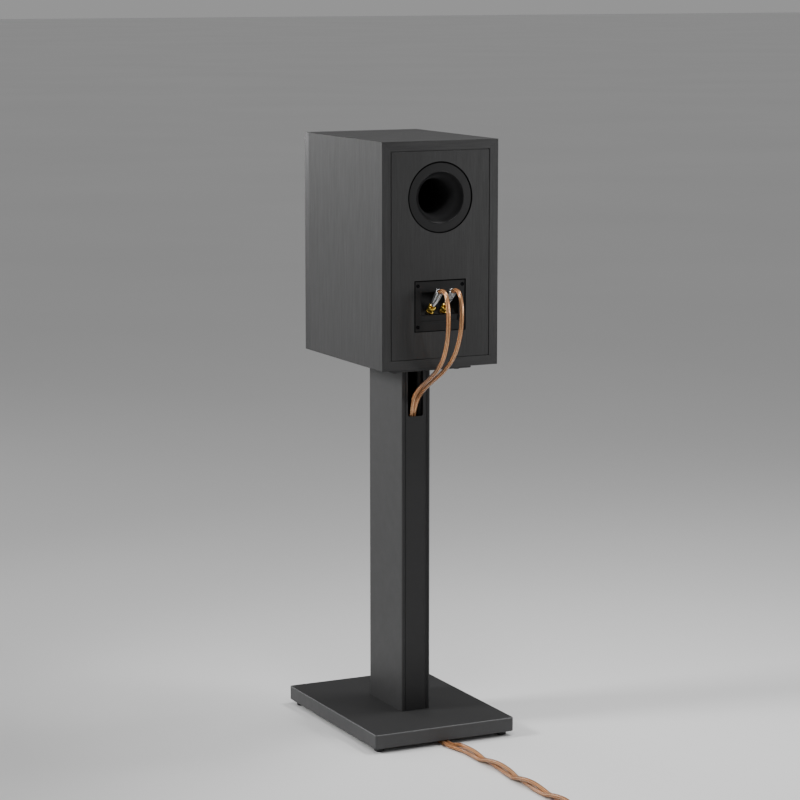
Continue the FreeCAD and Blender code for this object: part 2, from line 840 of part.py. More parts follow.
def crossover():
    top = BOARD_Z + BOARD_THICKNESS
    board = block("board", "130", "84", f"{BOARD_THICKNESS}", at(0, BOARD_Y, BOARD_Z))
    corners = four(58, 35)
    holes = []
    for i, (x, y) in enumerate(corners):
        holes.append(rod(f"board_hole_{i}", "2", "4", at(x, BOARD_Y + y, BOARD_Z - 1)))
    keep(without("board_cut", board, holes), "crossover_board")
    spacer = turned("spacer", ring("0", "4", "-8", "0"), at(0, 0, 0, Y_TO_UP))
    screw = turned(
        "board_screw",
        [("0", "0.02"), ("1.9", "0.02"), ("1.9", "1.62"), ("3.4", "1.62"), ("2.6", "3.4"), ("0", "3.6")],
        at(0, 0, 0, Y_TO_UP),
    )
    spots = [at(x, BOARD_Y + y, BOARD_Z) for x, y in corners]
    copies("crossover_standoffs", together("standoff_set", [spacer, screw]), spots)
    upright = turned("coil_upright", ring("9", "21", "0.1", "17"), at(-36, BOARD_Y - 8, top, Y_TO_UP))
    lying = turned("coil_lying", ring("8", "15", "-9", "9"), at(6, BOARD_Y - 18, top + 15.2, Y_TO_REAR))
    keep(together("coils", [upright, lying]), "crossover_inductors")
    cans = [
        rod(f"capacitor_{i}", f"{radius}", f"{length}", at(x, y, top + radius + 0.1, turn((0, 1, 0), 90)))
        for i, (radius, length, x, y) in enumerate(
            ((8.5, 34, -2, BOARD_Y + 16), (6.5, 28, 26, BOARD_Y - 6), (5.0, 24, 28, BOARD_Y - 22))
        )
    ]
    keep(together("cans", cans), "crossover_capacitors")
    sticks = []
    for i in range(2):
        spot = at(-28, BOARD_Y + 19.5 + 10.5 * i, top + 0.1)
        sticks.append(block(f"resistor_{i}", "38", "9", "9", spot))
    keep(together("sticks", sticks), "crossover_resistors")


def internal_wiring():
    """Six leads: posts to board, board to woofer, board up through the brace to the tweeter."""
    low = BOARD_Z + BOARD_THICKNESS + 1.4
    radius = 1.2
    slant = math.sqrt(0.5) * 18
    shapes = []
    for side, (_, x) in zip((1, -1), POSTS):
        tail = (x, POST_Y - slant, POST_Z - slant - 1.0)
        shapes.append(
            bent_tube(
                f"input_lead_{side}",
                [
                    tail,
                    (x, tail[1] - 9, tail[2] - 10),
                    (x + side * 4, tail[1] - 14, tail[2] - 24),
                    (x + side * 40, BOARD_Y + 38.5, low),
                ],
                radius,
            )
        )
        shapes.append(
            bent_tube(
                f"woofer_lead_{side}",
                [
                    (side * 20, BOARD_Y - 40, low),
                    (side * 26, -10, low + 4),
                    (side * 44, -34, low + 24),
                    (side * 55, -66, WOOFER - 44),
                    (side * 50, -88, WOOFER - 26),
                ],
                radius,
            )
        )
        shapes.append(
            bent_tube(
                f"tweeter_lead_{side}",
                [
                    (side * 61, BOARD_Y - 4, low),
                    (side * 63, BOARD_Y - 20, low + 16),
                    (side * 60, BOARD_Y - 30, WOOFER - 20),
                    (side * 50, 5, WOOFER + 80),
                    (side * 48, -40, TWEETER - 62),
                    (side * 42, -76, TWEETER - 28),
                    (side * 30, -98, TWEETER - 8),
                ],
                radius,
            )
        )
    feature = doc.addObject("Part::Feature", "wires")
    feature.Shape = Part.makeCompound(shapes)
    keep(feature, "internal_wiring")


# ---------------------------------------------------------------- drivers


def woofer_basket():
    """Pressed frame: flange, six-legged cone and the seat for the magnet's top plate."""
    corners = [
        ("woofer_radius", "-0.9"),
        ("woofer_radius", "-4"),
        ("woofer_hole_radius - 0.8", "-4"),
        ("woofer_hole_radius - 2", "-14"),
        ("47", "-44"),
        ("47", "-54"),
        ("20", "-54"),
        ("20", "-52"),
        ("44.5", "-52"),
        ("44.5", "-43"),
        ("woofer_hole_radius - 4.5", "-13"),
        ("woofer_hole_radius - 2.5", "-0.9"),
    ]
    blank = turned("basket_blank", corners, WOOFER_FRONT)
    middle = WOOFER_FRONT.multiply(at(0, -29, 0))
    windows = []
    for i in range(6):
        about_axis = middle.multiply(at(0, 0, 0, turn((0, 1, 0), 60 * i + 30)))
        windows.append(block(f"basket_window_{i}", "30", "22", "80", about_axis))
    spots = driver_screw_spots(0, 4, 0.95)
    screws = [screw_hole(f"woofer_screw_hole_{i}", "3.4", "1.6", "6", spot) for i, spot in enumerate(spots)]
    keep(without("basket_cut", blank, windows + screws), "woofer_basket")


def woofer_soft_parts():
    """Trim ring, half-roll surround, cone, dust cap, voice coil and spider."""
    trim = [
        ("woofer_radius", "-0.85"),
        ("woofer_radius", "0.6"),
        ("woofer_radius - 1.2", "1.8"),
        ("woofer_radius - 12", "1.8"),
        ("woofer_radius - 13.5", "0"),
        ("woofer_radius - 1.6", "0"),
        ("woofer_radius - 1.6", "-0.85"),
    ]
    keep(turned("trim", trim, WOOFER_FRONT), "woofer_trim_ring")
    roll = [
        ("73", "-0.05"),
        ("68.8", "-0.05"),
        ("56.8", "-0.05"),
        ("53.6", "-0.6"),
        ("53.6", "-1.7"),
        ("57.6", "-0.85"),
        ("68", "-0.85"),
        ("73", "-0.85"),
    ]
    surround = turned("surround", roll, WOOFER_FRONT, {1: "6.02", 5: "-5.25"})
    keep(surround, "woofer_surround")
    cone = [
        ("cone_radius - 0.6", "-1.8"),
        ("cone_radius", "-2.6"),
        ("coil_radius + 0.1", "-27"),
        ("coil_radius + 0.1", "-26"),
    ]
    keep(turned("cone", cone, WOOFER_FRONT, {1: "-120", 3: "119"}), "woofer_cone")
    cap = [
        ("0", "-12.2"),
        ("0", "-11.2"),
        ("23", "-19.6"),
        ("23", "-20.6"),
    ]
    bow = dome_bow("23", "8.4")
    keep(turned("cap", cap, WOOFER_FRONT, {1: f"-({bow})", 3: bow}), "woofer_dust_cap")
    coil = turned("woofer_coil", ring("coil_radius - 0.7", "coil_radius", "-63", "-24"), WOOFER_FRONT)
    keep(coil, "woofer_voice_coil")
    spider = [
        ("coil_radius + 0.2", "-40.5"),
        ("coil_radius + 0.2", "-41.3"),
        ("24", "-39.3"),
        ("30", "-43.3"),
        ("36", "-39.3"),
        ("43.8", "-41.3"),
        ("43.8", "-40.5"),
        ("36", "-38.5"),
        ("30", "-42.5"),
        ("24", "-38.5"),
    ]
    keep(turned("spider", spider, WOOFER_FRONT), "woofer_spider")


def woofer_motor():
    flat_ring = ring("coil_radius + 0.8", "42", "-60.1", "-54.1")
    keep(turned("w_plate", flat_ring, WOOFER_FRONT), "woofer_top_plate")
    keep(turned("w_magnet", ring("25", "45", "-76.1", "-60.2"), WOOFER_FRONT), "woofer_magnet")
    yoke = [
        ("5", "-84"),
        ("42", "-84"),
        ("43.5", "-82.5"),
        ("43.5", "-76.2"),
        ("coil_radius - 1.3", "-76.2"),
        ("coil_radius - 1.3", "-54"),
        ("5", "-54"),
    ]
    keep(turned("w_yoke", yoke, WOOFER_FRONT), "woofer_yoke")


def tweeter():
    face = [
        ("tweeter_radius - 0.8", "0"),
        ("tweeter_radius", "-0.8"),
        ("tweeter_radius", "-3"),
        ("tweeter_hole_radius - 0.6", "-3"),
        ("tweeter_hole_radius - 0.6", "-6"),
        ("22", "-12.6"),
        ("17.2", "-12.6"),
        ("17.2", "-9.5"),
        ("42", "0"),
    ]
    plate = turned("faceplate_blank", face, TWEETER_FRONT, {7: "60"})
    spots = driver_screw_spots(4, 8, 0.05)
    screws = []
    for i, spot in enumerate(spots):
        screws.append(screw_hole(f"tweeter_screw_hole_{i}", "3.4", "1.6", "6", spot))
    keep(without("faceplate_cut", plate, screws), "tweeter_faceplate")
    roll = [
        ("19.5", "-12.7"),
        ("19.5", "-13.1"),
        ("16.4", "-13.1"),
        ("13.0", "-11.2"),
        ("13.0", "-10.6"),
        ("16.9", "-12.7"),
    ]
    keep(turned("dome_roll", roll, TWEETER_FRONT), "tweeter_surround")
    dome = [("0", "-6.6"), ("0", "-6.1"), ("dome_radius", "-10.6"), ("dome_radius", "-11.2")]
    dome.append(("dome_radius - 0.5", "-11.2"))
    bows = {1: f"-({dome_bow('dome_radius', '4.5')})", 4: dome_bow("dome_radius - 0.5", "4.6")}
    keep(turned("dome_cap", dome, TWEETER_FRONT, bows), "tweeter_dome")
    former = ring("dome_radius - 0.45", "dome_radius", "-17.5", "-11.25")
    coil = turned("tweeter_coil", former, TWEETER_FRONT)
    keep(coil, "tweeter_voice_coil")
    flat_ring = ring("dome_radius + 0.5", "33", "-17.2", "-13.2")
    keep(turned("t_plate", flat_ring, TWEETER_FRONT), "tweeter_top_plate")
    keep(turned("t_magnet", ring("18", "34", "-29.2", "-17.3"), TWEETER_FRONT), "tweeter_magnet")
    yoke = [("0", "-35"), ("31", "-35"), ("32", "-34"), ("32", "-29.3")]
    yoke += [("dome_radius - 1", "-29.3"), ("dome_radius - 1", "-13.6"), ("0", "-13.6")]
    keep(turned("t_yoke", yoke, TWEETER_FRONT), "tweeter_yoke")


def driver_hardware():
    master = wood_screw("driver_screw", "3.4", "1.6", "16", at(0, 0, 0))
    copies("driver_screws", master, driver_screw_spots(0, 4, 0.95) + driver_screw_spots(4, 8, 0.05))
    wide = ring("woofer_hole_radius + 0.5", "woofer_radius", "-5", "-4.05")
    woofer_ring = turned("woofer_gasket", wide, WOOFER_FRONT)
    narrow = ring("tweeter_hole_radius + 0.5", "tweeter_radius", "-4", "-3.05")
    tweeter_ring = turned("tweeter_gasket", narrow, TWEETER_FRONT)
    pilots = [
        rod(f"gasket_hole_{i}", "2.1", "8", at(x, FRONT - 1, z, turn(ACROSS, -90)))
        for i, (x, z) in enumerate(driver_screw_places())
    ]
    rings = without("gasket_rings", together("gasket_pair", [woofer_ring, tweeter_ring]), pilots)
    keep(rings, "driver_gaskets")


# ---------------------------------------------------------------- stand


def base_plate():
    wide = rectangle("base_width", "base_depth")
    blank = prism("base_blank", wide, "base_thickness", at(0, 0, number("foot_height")))
    round_edges(blank, "base_corner", along_pad)
    round_edges(blank, "base_edge", lambda edge: not along_pad(edge))
    hollow = prism(
        "base_hollow",
        rectangle("base_width - 2 * base_rim", "base_depth - 2 * base_rim"),
        "base_thickness - base_skin + 1",
        at(0, 0, number("foot_height") - 1),
    )
    round_edges(hollow, "12", along_pad)
    below_skin = BASE_TOP - number("base_skin") - 2
    cable_hole = prism("cable_hole", rectangle("20", "44"), "base_skin + 4", at(0, 36, below_skin))
    round_edges(cable_hole, "5", along_pad)
    tools = [hollow, cable_hole]
    skin = BASE_TOP - number("base_skin")
    for i, (x, y) in enumerate(COLUMN_BOLTS):
        tools.append(rod(f"base_bolt_hole_{i}", "2.75", "base_skin + 2", at(x, y, skin - 1)))
        tools.append(rod(f"base_bolt_rebate_{i}", "5.2", "4.6", at(x, y, skin - 1)))
    for i, (x, y) in enumerate(FEET):
        tools.append(rod(f"foot_hole_{i}", "3.05", "12", at(x, y, number("foot_height") - 1)))
    keep(without("base_cut", blank, tools), "stand_base_plate")


def feet():
    foot = turned(
        "foot",
        [
            ("0", "0"),
            ("foot_radius - 2.2", "0"),
            ("foot_radius", "2.2"),
            ("foot_radius", "foot_height"),
            ("3", "foot_height"),
            ("3", "foot_height + 10"),
            ("0", "foot_height + 10"),
        ],
        at(0, 0, 0, Y_TO_UP),
        {1: "2.2"},
    )
    copies("stand_feet", foot, [at(x, y, 0) for x, y in FEET])


def column():
    """Channel open to the rear, with four screw ports along its whole height."""
    corners = [
        ("-column_width / 2", "-column_depth / 2"),
        ("column_width / 2", "-column_depth / 2"),
        ("column_width / 2", "column_depth / 2"),
        ("column_width / 2 - column_wall", "column_depth / 2"),
        ("column_width / 2 - column_wall", "column_wall - column_depth / 2"),
        ("column_wall - column_width / 2", "column_wall - column_depth / 2"),
        ("column_wall - column_width / 2", "column_depth / 2"),
        ("-column_width / 2", "column_depth / 2"),
    ]
    channel = prism("channel", corners, "column_height", at(0, 0, BASE_TOP))
    front_edges = number("column_depth / 2") - 1
    round_edges(channel, "1.2", lambda edge: along_pad(edge) and edge.CenterOfMass.y < -front_edges)
    ports = []
    bores = []
    for i, (x, y) in enumerate(COLUMN_BOLTS):
        ports.append(rod(f"screw_port_{i}", "6", "column_height", at(x, y, BASE_TOP)))
        bores.append(rod(f"port_bore_{i}", "2.6", "column_height", at(x, y, BASE_TOP)))
    keep(without("column_cut", joined("column_blank", [channel, *ports]), bores), "stand_column")


def column_cover():
    """Snap-in rear cover between the column's walls, with two fine grooves and a cable slot at its top."""
    half = "column_width / 2 - column_wall - 0.15"
    face = "column_depth / 2 - 0.8"
    back = "column_depth / 2 - 3"
    leg = "column_depth / 2 - 11"
    right = [
        (f"{half} - 2.2", face),
        (f"{half} - 2.9", f"{face} - 0.8"),
        (f"{half} - 4.4", f"{face} - 0.8"),
        (f"{half} - 5.1", face),
    ]
    left = [(f"-({x})", y) for x, y in reversed(right)]
    corners = [
        (f"{half} - 1.6", back),
        (f"{half} - 1.6", leg),
        (half, leg),
        (half, face),
        *right,
        *left,
        (f"-({half})", face),
        (f"-({half})", leg),
        (f"-({half}) + 1.6", leg),
        (f"-({half}) + 1.6", back),
    ]
    blank = prism("cover_blank", corners, "column_height - 0.5", at(0, 0, BASE_TOP + 0.25))
    top = BASE_TOP + number("column_height")
    slot = prism(
        "cover_slot",
        rectangle("slot_width", "slot_depth + 10"),
        "12",
        at(0, number("column_depth / 2") + 3, top + 5 - number("slot_depth / 2"), Y_TO_UP),
    )
    round_edges(slot, "slot_corner", along_pad)
    keep(without("cover_cut", blank, [slot]), "stand_column_cover")


def bolt(label, head_radius, head_height, radius, length):
    """Socket-head bolt along +Z, the head's underside at its origin."""
    corners = [
        ("1.6", f"-{head_height}"),
        (f"{head_radius} - 0.4", f"-{head_height}"),
        (f"{head_radius}", f"0.4 - {head_height}"),
        (f"{head_radius}", "0"),
        (f"{radius}", "0"),
        (f"{radius}", f"{length} - 0.8"),
        (f"{radius} - 0.8", f"{length}"),
        ("0", f"{length}"),
        ("0", "2 - " + f"{head_height}"),
        ("1.6", "2 - " + f"{head_height}"),
    ]
    return turned(label, corners, at(0, 0, 0, Y_TO_UP))


def stand_hardware():
    """Bolts through the base and the top plate into the column's screw ports."""
    skin = BASE_TOP - number("base_skin")
    master = bolt("column_bolt", 4.8, 3.4, 2.55, 22)
    upwards = [at(x, y, skin + 3.6) for x, y in COLUMN_BOLTS]
    downwards = [at(x, y, STAND_TOP - 3.6, turn(ACROSS, 180)) for x, y in COLUMN_BOLTS]
    copies("stand_column_bolts", master, upwards + downwards)


def top_plate():
    corners = rectangle("plate_width", "plate_depth")
    low = STAND_TOP - number("plate_thickness")
    blank = prism("plate_blank", corners, "plate_thickness", at(0, 0, low))
    round_edges(blank, "plate_corner", along_pad)
    round_edges(blank, "0.6", lambda edge: not along_pad(edge))
    low -= 1
    tools = []
    for i, (x, y) in enumerate(FIXINGS):
        tools.append(rod(f"fixing_hole_{i}", "3.3", "plate_thickness + 2", at(x, y, low)))
    for i, (x, y) in enumerate(COLUMN_BOLTS):
        tools.append(rod(f"top_bolt_hole_{i}", "2.75", "plate_thickness + 2", at(x, y, low)))
        tools.append(rod(f"top_bolt_rebate_{i}", "5.2", "4.6", at(x, y, STAND_TOP - 3.6)))
    keep(without("plate_cut", blank, tools), "stand_top_plate")


def speaker_fixings():
    pad = turned("pad", ring("4", "pad_radius", "0", "pad_thickness"), at(0, 0, 0, Y_TO_UP))
    copies("stand_isolation_pads", pad, [at(x, y, STAND_TOP) for x, y in FIXINGS])
    insert = turned("insert", ring("3.0", "4.5", "0.05", "12"), at(0, 0, 0, Y_TO_UP))
    copies("threaded_inserts", insert, [at(x, y, FLOOR_OF_CABINET) for x, y in FIXINGS])
    under = STAND_TOP - number("plate_thickness")
    master = bolt("fixing_screw", 5.2, 3.6, 2.95, 18)
    copies("speaker_fixing_screws", master, [at(x, y, under) for x, y in FIXINGS])


# ---------------------------------------------------------------- speaker cable

# Each conductor from inside its plug's sleeve, over the arch and down into the column's slot, down inside the
# column, under the base's rim and out behind it, where the twisted pair begins.
LEAD_POSITIVE = [
    (11.8, 160.6, 726.3),
    (11.8, 169.6, 734.4),
    (11.8, 182.6, 735.4),
    (11.8, 193.0, 727.6),
    (11.8, 198.4, 709.0),
    (11.7, 199.2, 684.0),
    (11.5, 195.0, 656.0),
    (11.1, 182.0, 629.0),
    (10.3, 158.5, 607.0),
    (9.2, 128.0, 589.5),
    (7.8, 96.0, 573.5),
    (6.2, 69.0, 555.0),
    (5.0, 54.0, 530.0),
    (4.6, 50.5, 496.0),
    (4.9, 48.0, 430.0),
    (3.9, 45.5, 345.0),
    (4.7, 47.0, 258.0),
    (3.2, 45.0, 172.0),
    (3.5, 37.5, 108.0),
    (3.3, 31.0, 66.0),
    (3.1, 36.0, 34.0),
    (3.0, 56.0, 14.5),
    (2.9, 86.0, 5.4),
    (3.1, 122.0, 3.8),
    (3.0, 154.0, 3.7),
    (3.0, 184.0, 3.9),
]
LEAD_NEGATIVE = [
    (-11.8, 160.6, 726.3),
    (-11.8, 169.6, 734.4),
    (-11.8, 182.6, 735.8),
    (-11.6, 193.6, 728.4),
    (-11.3, 200.0, 709.0),
    (-10.6, 200.6, 684.0),
    (-9.2, 195.0, 656.0),
    (-7.2, 180.5, 629.0),
    (-5.0, 156.0, 607.0),
    (-3.3, 126.0, 589.0),
    (-2.2, 94.0, 572.0),
    (-1.8, 66.0, 552.0),
    (-1.6, 50.5, 527.0),
    (-2.0, 46.0, 495.0),
    (-2.6, 44.5, 430.0),
    (-3.6, 43.0, 345.0),
    (-2.8, 44.0, 258.0),
    (-4.3, 42.5, 172.0),
    (-4.0, 36.0, 108.0),
    (-4.2, 30.0, 66.0),
    (-4.4, 35.0, 34.0),
    (-4.5, 55.0, 14.5),
    (-4.6, 85.0, 5.4),
    (-4.4, 122.0, 3.8),
    (-4.5, 154.0, 3.7),
    (-4.5, 184.0, 3.9),
]
# The middle of the twisted pair, over the floor to the coil.
PAIR_ROUTE = [
    (-0.75, 185.2, 7.4),
    (-5.0, 212.0, 7.4),
    (-8.3, 252.0, 7.4),
    (-11.2, 300.0, 7.4),
    (-11.4, 350.0, 7.4),
    (-9.9, 402.0, 7.4),
    (-10.4, 448.0, 7.4),
    (-14.0, 498.0, 7.4),
    (-13.0, 548.0, 7.4),
    (-4.0, 594.0, 7.4),
    (7.0, 634.0, 7.4),
    (12.4, 672.0, 7.4),
]
COIL_X = -62.4
COIL_Y = 714.0
COIL_HEIGHT = 29.6


def cable():
    radius = number("conductor_radius")
    tube_node("cable_lead_positive", LEAD_POSITIVE, radius)
    tube_node("cable_lead_negative", LEAD_NEGATIVE, radius)
    tube_node("cable_floor_pair", PAIR_ROUTE, number("pair_radius"))
    corner = 6.0
    high = f"{COIL_HEIGHT}"
    section = [
        (f"coil_inner_radius + {corner}", "0.1"),
        (f"coil_outer_radius - {corner}", "0.1"),
        ("coil_outer_radius", f"{corner} + 0.1"),
        ("coil_outer_radius", f"{high} - {corner}"),
        (f"coil_outer_radius - {corner}", high),
        (f"coil_inner_radius + {corner}", high),
        ("coil_inner_radius", f"{high} - {corner}"),
        ("coil_inner_radius", f"{corner} + 0.1"),
    ]
    bows = {side: f"{corner}" for side in (1, 3, 5, 7)}
    keep(turned("coil_of_cable", section, at(COIL_X, COIL_Y, 0, Y_TO_UP), bows), "cable_coil")


def banana_plugs():
    contact = plug_contact()
    sleeve = plug_sleeve()
    pair_on_posts("banana_plug_contacts", [contact])
    pair_on_posts("banana_plug_sleeves", [sleeve])
    lying = COIL_HEIGHT + number("sleeve_end_radius") + 0.2
    rear = number("sleeve_length") + SLEEVE_START
    shapes = []
    for x, y, slew in ((-66.5, 31.0, -3.0), (-53.6, 29.0, -7.0)):
        entry = at(COIL_X + x, COIL_Y + y, lying, turn(UP, slew))
        for master in (contact, sleeve):
            shape = master.Shape.copy()
            shape.Placement = entry.multiply(at(0, -rear, 0))
            shapes.append(shape)
    feature = doc.addObject("Part::Feature", "far_plugs")
    feature.Shape = Part.makeCompound(shapes)
    keep(feature, "far_banana_plugs")


# ---------------------------------------------------------------- the whole


def check_document():
    """Stops if any feature failed or any sub-part is empty or invalid."""
    failed = [o.Label for o in doc.Objects if "Invalid" in o.State or "Error" in o.State]
    empty = [o.Label for o in nodes if o.Shape.isNull() or not o.Shape.isValid() or not o.Shape.Solids]
    labels = [o.Label for o in nodes]
    repeated = sorted({label for label in labels if labels.count(label) > 1})
    if failed or empty or repeated:
        raise RuntimeError(f"failed {failed}, empty {empty}, repeated {repeated}")


def write_parts():
    os.makedirs("parts", exist_ok=True)
    for feature in nodes:
        feature.Shape.exportStep(os.path.join("parts", f"{feature.Label}.step"))
    print(len(nodes), "sub-parts written")


cabinet_box()
rear_panel()
front_baffle()
brace_and_wadding()
port_flare()
port_tube()
terminal_cup()
terminal_screws()
binding_posts()
crossover()
internal_wiring()
woofer_basket()
woofer_soft_parts()
woofer_motor()
tweeter()
driver_hardware()
base_plate()
feet()
column()
column_cover()
stand_hardware()
top_plate()
speaker_fixings()
cable()
banana_plugs()
doc.recompute()
check_document()
write_parts()
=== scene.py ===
"""Looks of the bookshelf speaker on its stand: camera, materials, cable, terminals, floor and lights.

Everything is in the CAD frame, in metres: +Z up, -Y the front, +Y the rear, floor at Z = 0.
"""

import math

import bpy
import numpy as np
from mathutils import Matrix, Vector


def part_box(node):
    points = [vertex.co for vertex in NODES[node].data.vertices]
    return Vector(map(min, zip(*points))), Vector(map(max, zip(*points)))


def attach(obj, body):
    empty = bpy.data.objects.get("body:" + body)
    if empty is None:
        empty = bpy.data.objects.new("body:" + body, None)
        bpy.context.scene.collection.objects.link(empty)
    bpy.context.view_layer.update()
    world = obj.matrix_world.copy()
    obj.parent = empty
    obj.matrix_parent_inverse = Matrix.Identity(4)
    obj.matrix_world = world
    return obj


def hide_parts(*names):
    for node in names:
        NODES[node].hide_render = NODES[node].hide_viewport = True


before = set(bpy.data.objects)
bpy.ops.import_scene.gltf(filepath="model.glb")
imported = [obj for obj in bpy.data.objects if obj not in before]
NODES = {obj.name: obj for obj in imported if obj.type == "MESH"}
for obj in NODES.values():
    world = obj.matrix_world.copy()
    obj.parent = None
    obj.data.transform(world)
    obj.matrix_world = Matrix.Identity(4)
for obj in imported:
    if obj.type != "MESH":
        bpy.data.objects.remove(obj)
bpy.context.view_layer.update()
ROOT = "speaker_and_stand"
MM = 0.001


# ---------------------------------------------------------------- camera

LENS = 121.95
STANDPOINT = (1.90899, 3.92414, 1.2330)
SIGHT_LINE = (-0.43222, -0.88790, -0.15752)


def make_camera():
    """Looks at the speaker's back from its right, a little above the port, through a long lens."""
    data = bpy.data.cameras.new("camera")
    data.lens = LENS
    data.sensor_width = 36.0
    data.clip_start = 0.1
    data.clip_end = 400.0
    camera = bpy.data.objects.new("camera", data)
    camera.location = STANDPOINT
    camera.rotation_mode = "QUATERNION"
    camera.rotation_quaternion = Vector(SIGHT_LINE).to_track_quat("-Z", "Y")
    bpy.context.scene.collection.objects.link(camera)
    bpy.context.scene.camera = camera


make_camera()


# ---------------------------------------------------------------- node helpers


class Nodes:
    """A material's node tree, with short ways to add the nodes that this scene uses.

    It opens a new material, given a name, or a finished one that gets another layer.
    """

    def __init__(self, material):
        if isinstance(material, str):
            material = bpy.data.materials.new(material)
        material.use_nodes = True
        self.material = material
        self.tree = material.node_tree
        self.shader = self.tree.nodes["Principled BSDF"]
        self.output = self.tree.nodes["Material Output"]
        self.coordinates = self.tree.nodes.get("Texture Coordinate") or self.add("ShaderNodeTexCoord")

    def add(self, kind, **settings):
        node = self.tree.nodes.new(kind)
        for key, value in settings.items():
            setattr(node, key, value)
        return node

    def link(self, source, target):
        self.tree.links.new(source, target)

    def feed(self, target, value):
        """Links value to a socket if it is a socket, or sets it there if it is a constant."""
        if isinstance(value, bpy.types.NodeSocket):
            self.link(value, target)
        else:
            target.default_value = value

    def space(self, scale=(1, 1, 1), turn=(0, 0, 0)):
        """The object's own coordinates in metres, scaled and turned."""
        mapping = self.add("ShaderNodeMapping")
        self.link(self.coordinates.outputs["Object"], mapping.inputs["Vector"])
        mapping.inputs["Scale"].default_value = scale
        mapping.inputs["Rotation"].default_value = turn
        return mapping.outputs["Vector"]

    def split(self, vector):
        """The X, Y and Z of a vector."""
        node = self.add("ShaderNodeSeparateXYZ")
        self.link(vector, node.inputs[0])
        return node.outputs

    def noise(self, vector, scale, detail=3.0, roughness=0.55, distortion=0.0):
        noise = self.add("ShaderNodeTexNoise")
        self.link(vector, noise.inputs["Vector"])
        noise.inputs["Scale"].default_value = scale
        noise.inputs["Detail"].default_value = detail
        noise.inputs["Roughness"].default_value = roughness
        noise.inputs["Distortion"].default_value = distortion
        return noise.outputs["Fac"]

    def ramp(self, value, *stops):
        """Colour ramp through (position, colour) stops; a plain number is a grey."""
        ramp = self.add("ShaderNodeValToRGB")
        elements = ramp.color_ramp.elements
        while len(elements) < len(stops):
            elements.new(0.5)
        for element, (position, colour) in zip(elements, stops):
            element.position = position
            grey = isinstance(colour, (int, float))
            element.color = (colour, colour, colour, 1) if grey else (*colour, 1)
        self.link(value, ramp.inputs["Fac"])
        return ramp.outputs["Color"]

    def math(self, operation, first, second=0.0):
        node = self.add("ShaderNodeMath", operation=operation)
        self.feed(node.inputs[0], first)
        self.feed(node.inputs[1], second)
        return node.outputs[0]

    def mix(self, factor, first, second):
        """One colour passing into another."""
        node = self.add("ShaderNodeMix", data_type="RGBA", blend_type="MIX")
        self.feed(node.inputs["Factor"], factor)
        for socket, value in ((node.inputs[6], first), (node.inputs[7], second)):
            self.feed(socket, (*value, 1) if isinstance(value, tuple) else value)
        return node.outputs[2]

    def mix_shaders(self, factor, first, second):
        node = self.add("ShaderNodeMixShader")
        self.link(factor, node.inputs["Fac"])
        self.link(first, node.inputs[1])
        self.link(second, node.inputs[2])
        return node.outputs[0]

    def bump(self, height, distance, strength=1.0, normal=None):
        node = self.add("ShaderNodeBump")
        node.inputs["Distance"].default_value = distance
        node.inputs["Strength"].default_value = strength
        self.link(height, node.inputs["Height"])
        if normal is not None:
            self.link(normal, node.inputs["Normal"])
        return node.outputs["Normal"]

    def rounded(self, radius):
        """Normals that round sharp edges over a radius."""
        node = self.add("ShaderNodeBevel", samples=4)
        node.inputs["Radius"].default_value = radius
        return node.outputs["Normal"]

    def true_normal(self):
        """The surface's own normal, without bump or rounding."""
        return self.add("ShaderNodeNewGeometry").outputs["Normal"]

    def set(self, **inputs):
        """Feeds the shader's inputs, an underscore standing for a space, and returns the material."""
        for name, value in inputs.items():
            self.feed(self.shader.inputs[name.replace("_", " ")], value)
        return self.material


def hue(text):
    """A linear colour from six hexadecimal digits."""
    parts = [int(text[i : i + 2], 16) / 255 for i in (0, 2, 4)]
    return tuple(c / 12.92 if c <= 0.04045 else ((c + 0.055) / 1.055) ** 2.4 for c in parts)


def shade(colour, factor):
    return tuple(min(c * factor, 1.0) for c in colour)


# ---------------------------------------------------------------- materials

EDGE = 0.0006  # radius over which an edge looks rounded, unless a look says otherwise


def grained(name, colour, along, contrast=0.2):
    """Vinyl foil with a printed and embossed wood grain that runs along an axis (0 for X, 2 for Z)."""
    n = Nodes(name)
    fine = tuple(0.022 if axis == along else 1 for axis in range(3))
    broad = tuple(0.07 if axis == along else 1 for axis in range(3))
    warp = n.noise(n.space(broad), 28, 2, 0.5)
    lines = n.noise(n.space(fine), 900, 3, 0.62, 0.35)
    bands = n.noise(n.space(broad), 120, 4, 0.6, 0.8)
    pores = n.noise(n.space(tuple(3 * f for f in fine)), 1000, 1, 0.4)
    tone = n.mix(
        n.ramp(bands, (0.3, 0), (0.72, 1)),
        shade(colour, 1 - contrast),
        shade(colour, 1 + contrast * 0.9),
    )
    tone = n.mix(n.ramp(lines, (0.32, 0.75), (0.62, 0)), tone, shade(colour, 1 - 1.9 * contrast))
    tone = n.mix(n.ramp(pores, (0.62, 0), (0.7, 0.8)), tone, shade(colour, 0.45))
    tone = n.mix(n.ramp(warp, (0.3, 0.0), (0.8, 0.22)), tone, shade(colour, 1.35))
    gloss = n.ramp(lines, (0.25, 0.62), (0.75, 0.44))
    normal = n.bump(pores, -0.00012, 0.5, n.rounded(EDGE))
    normal = n.bump(lines, 0.00009, 0.55, normal)
    return n.set(Base_Color=tone, Roughness=gloss, Normal=normal, Specular_IOR_Level=0.35)


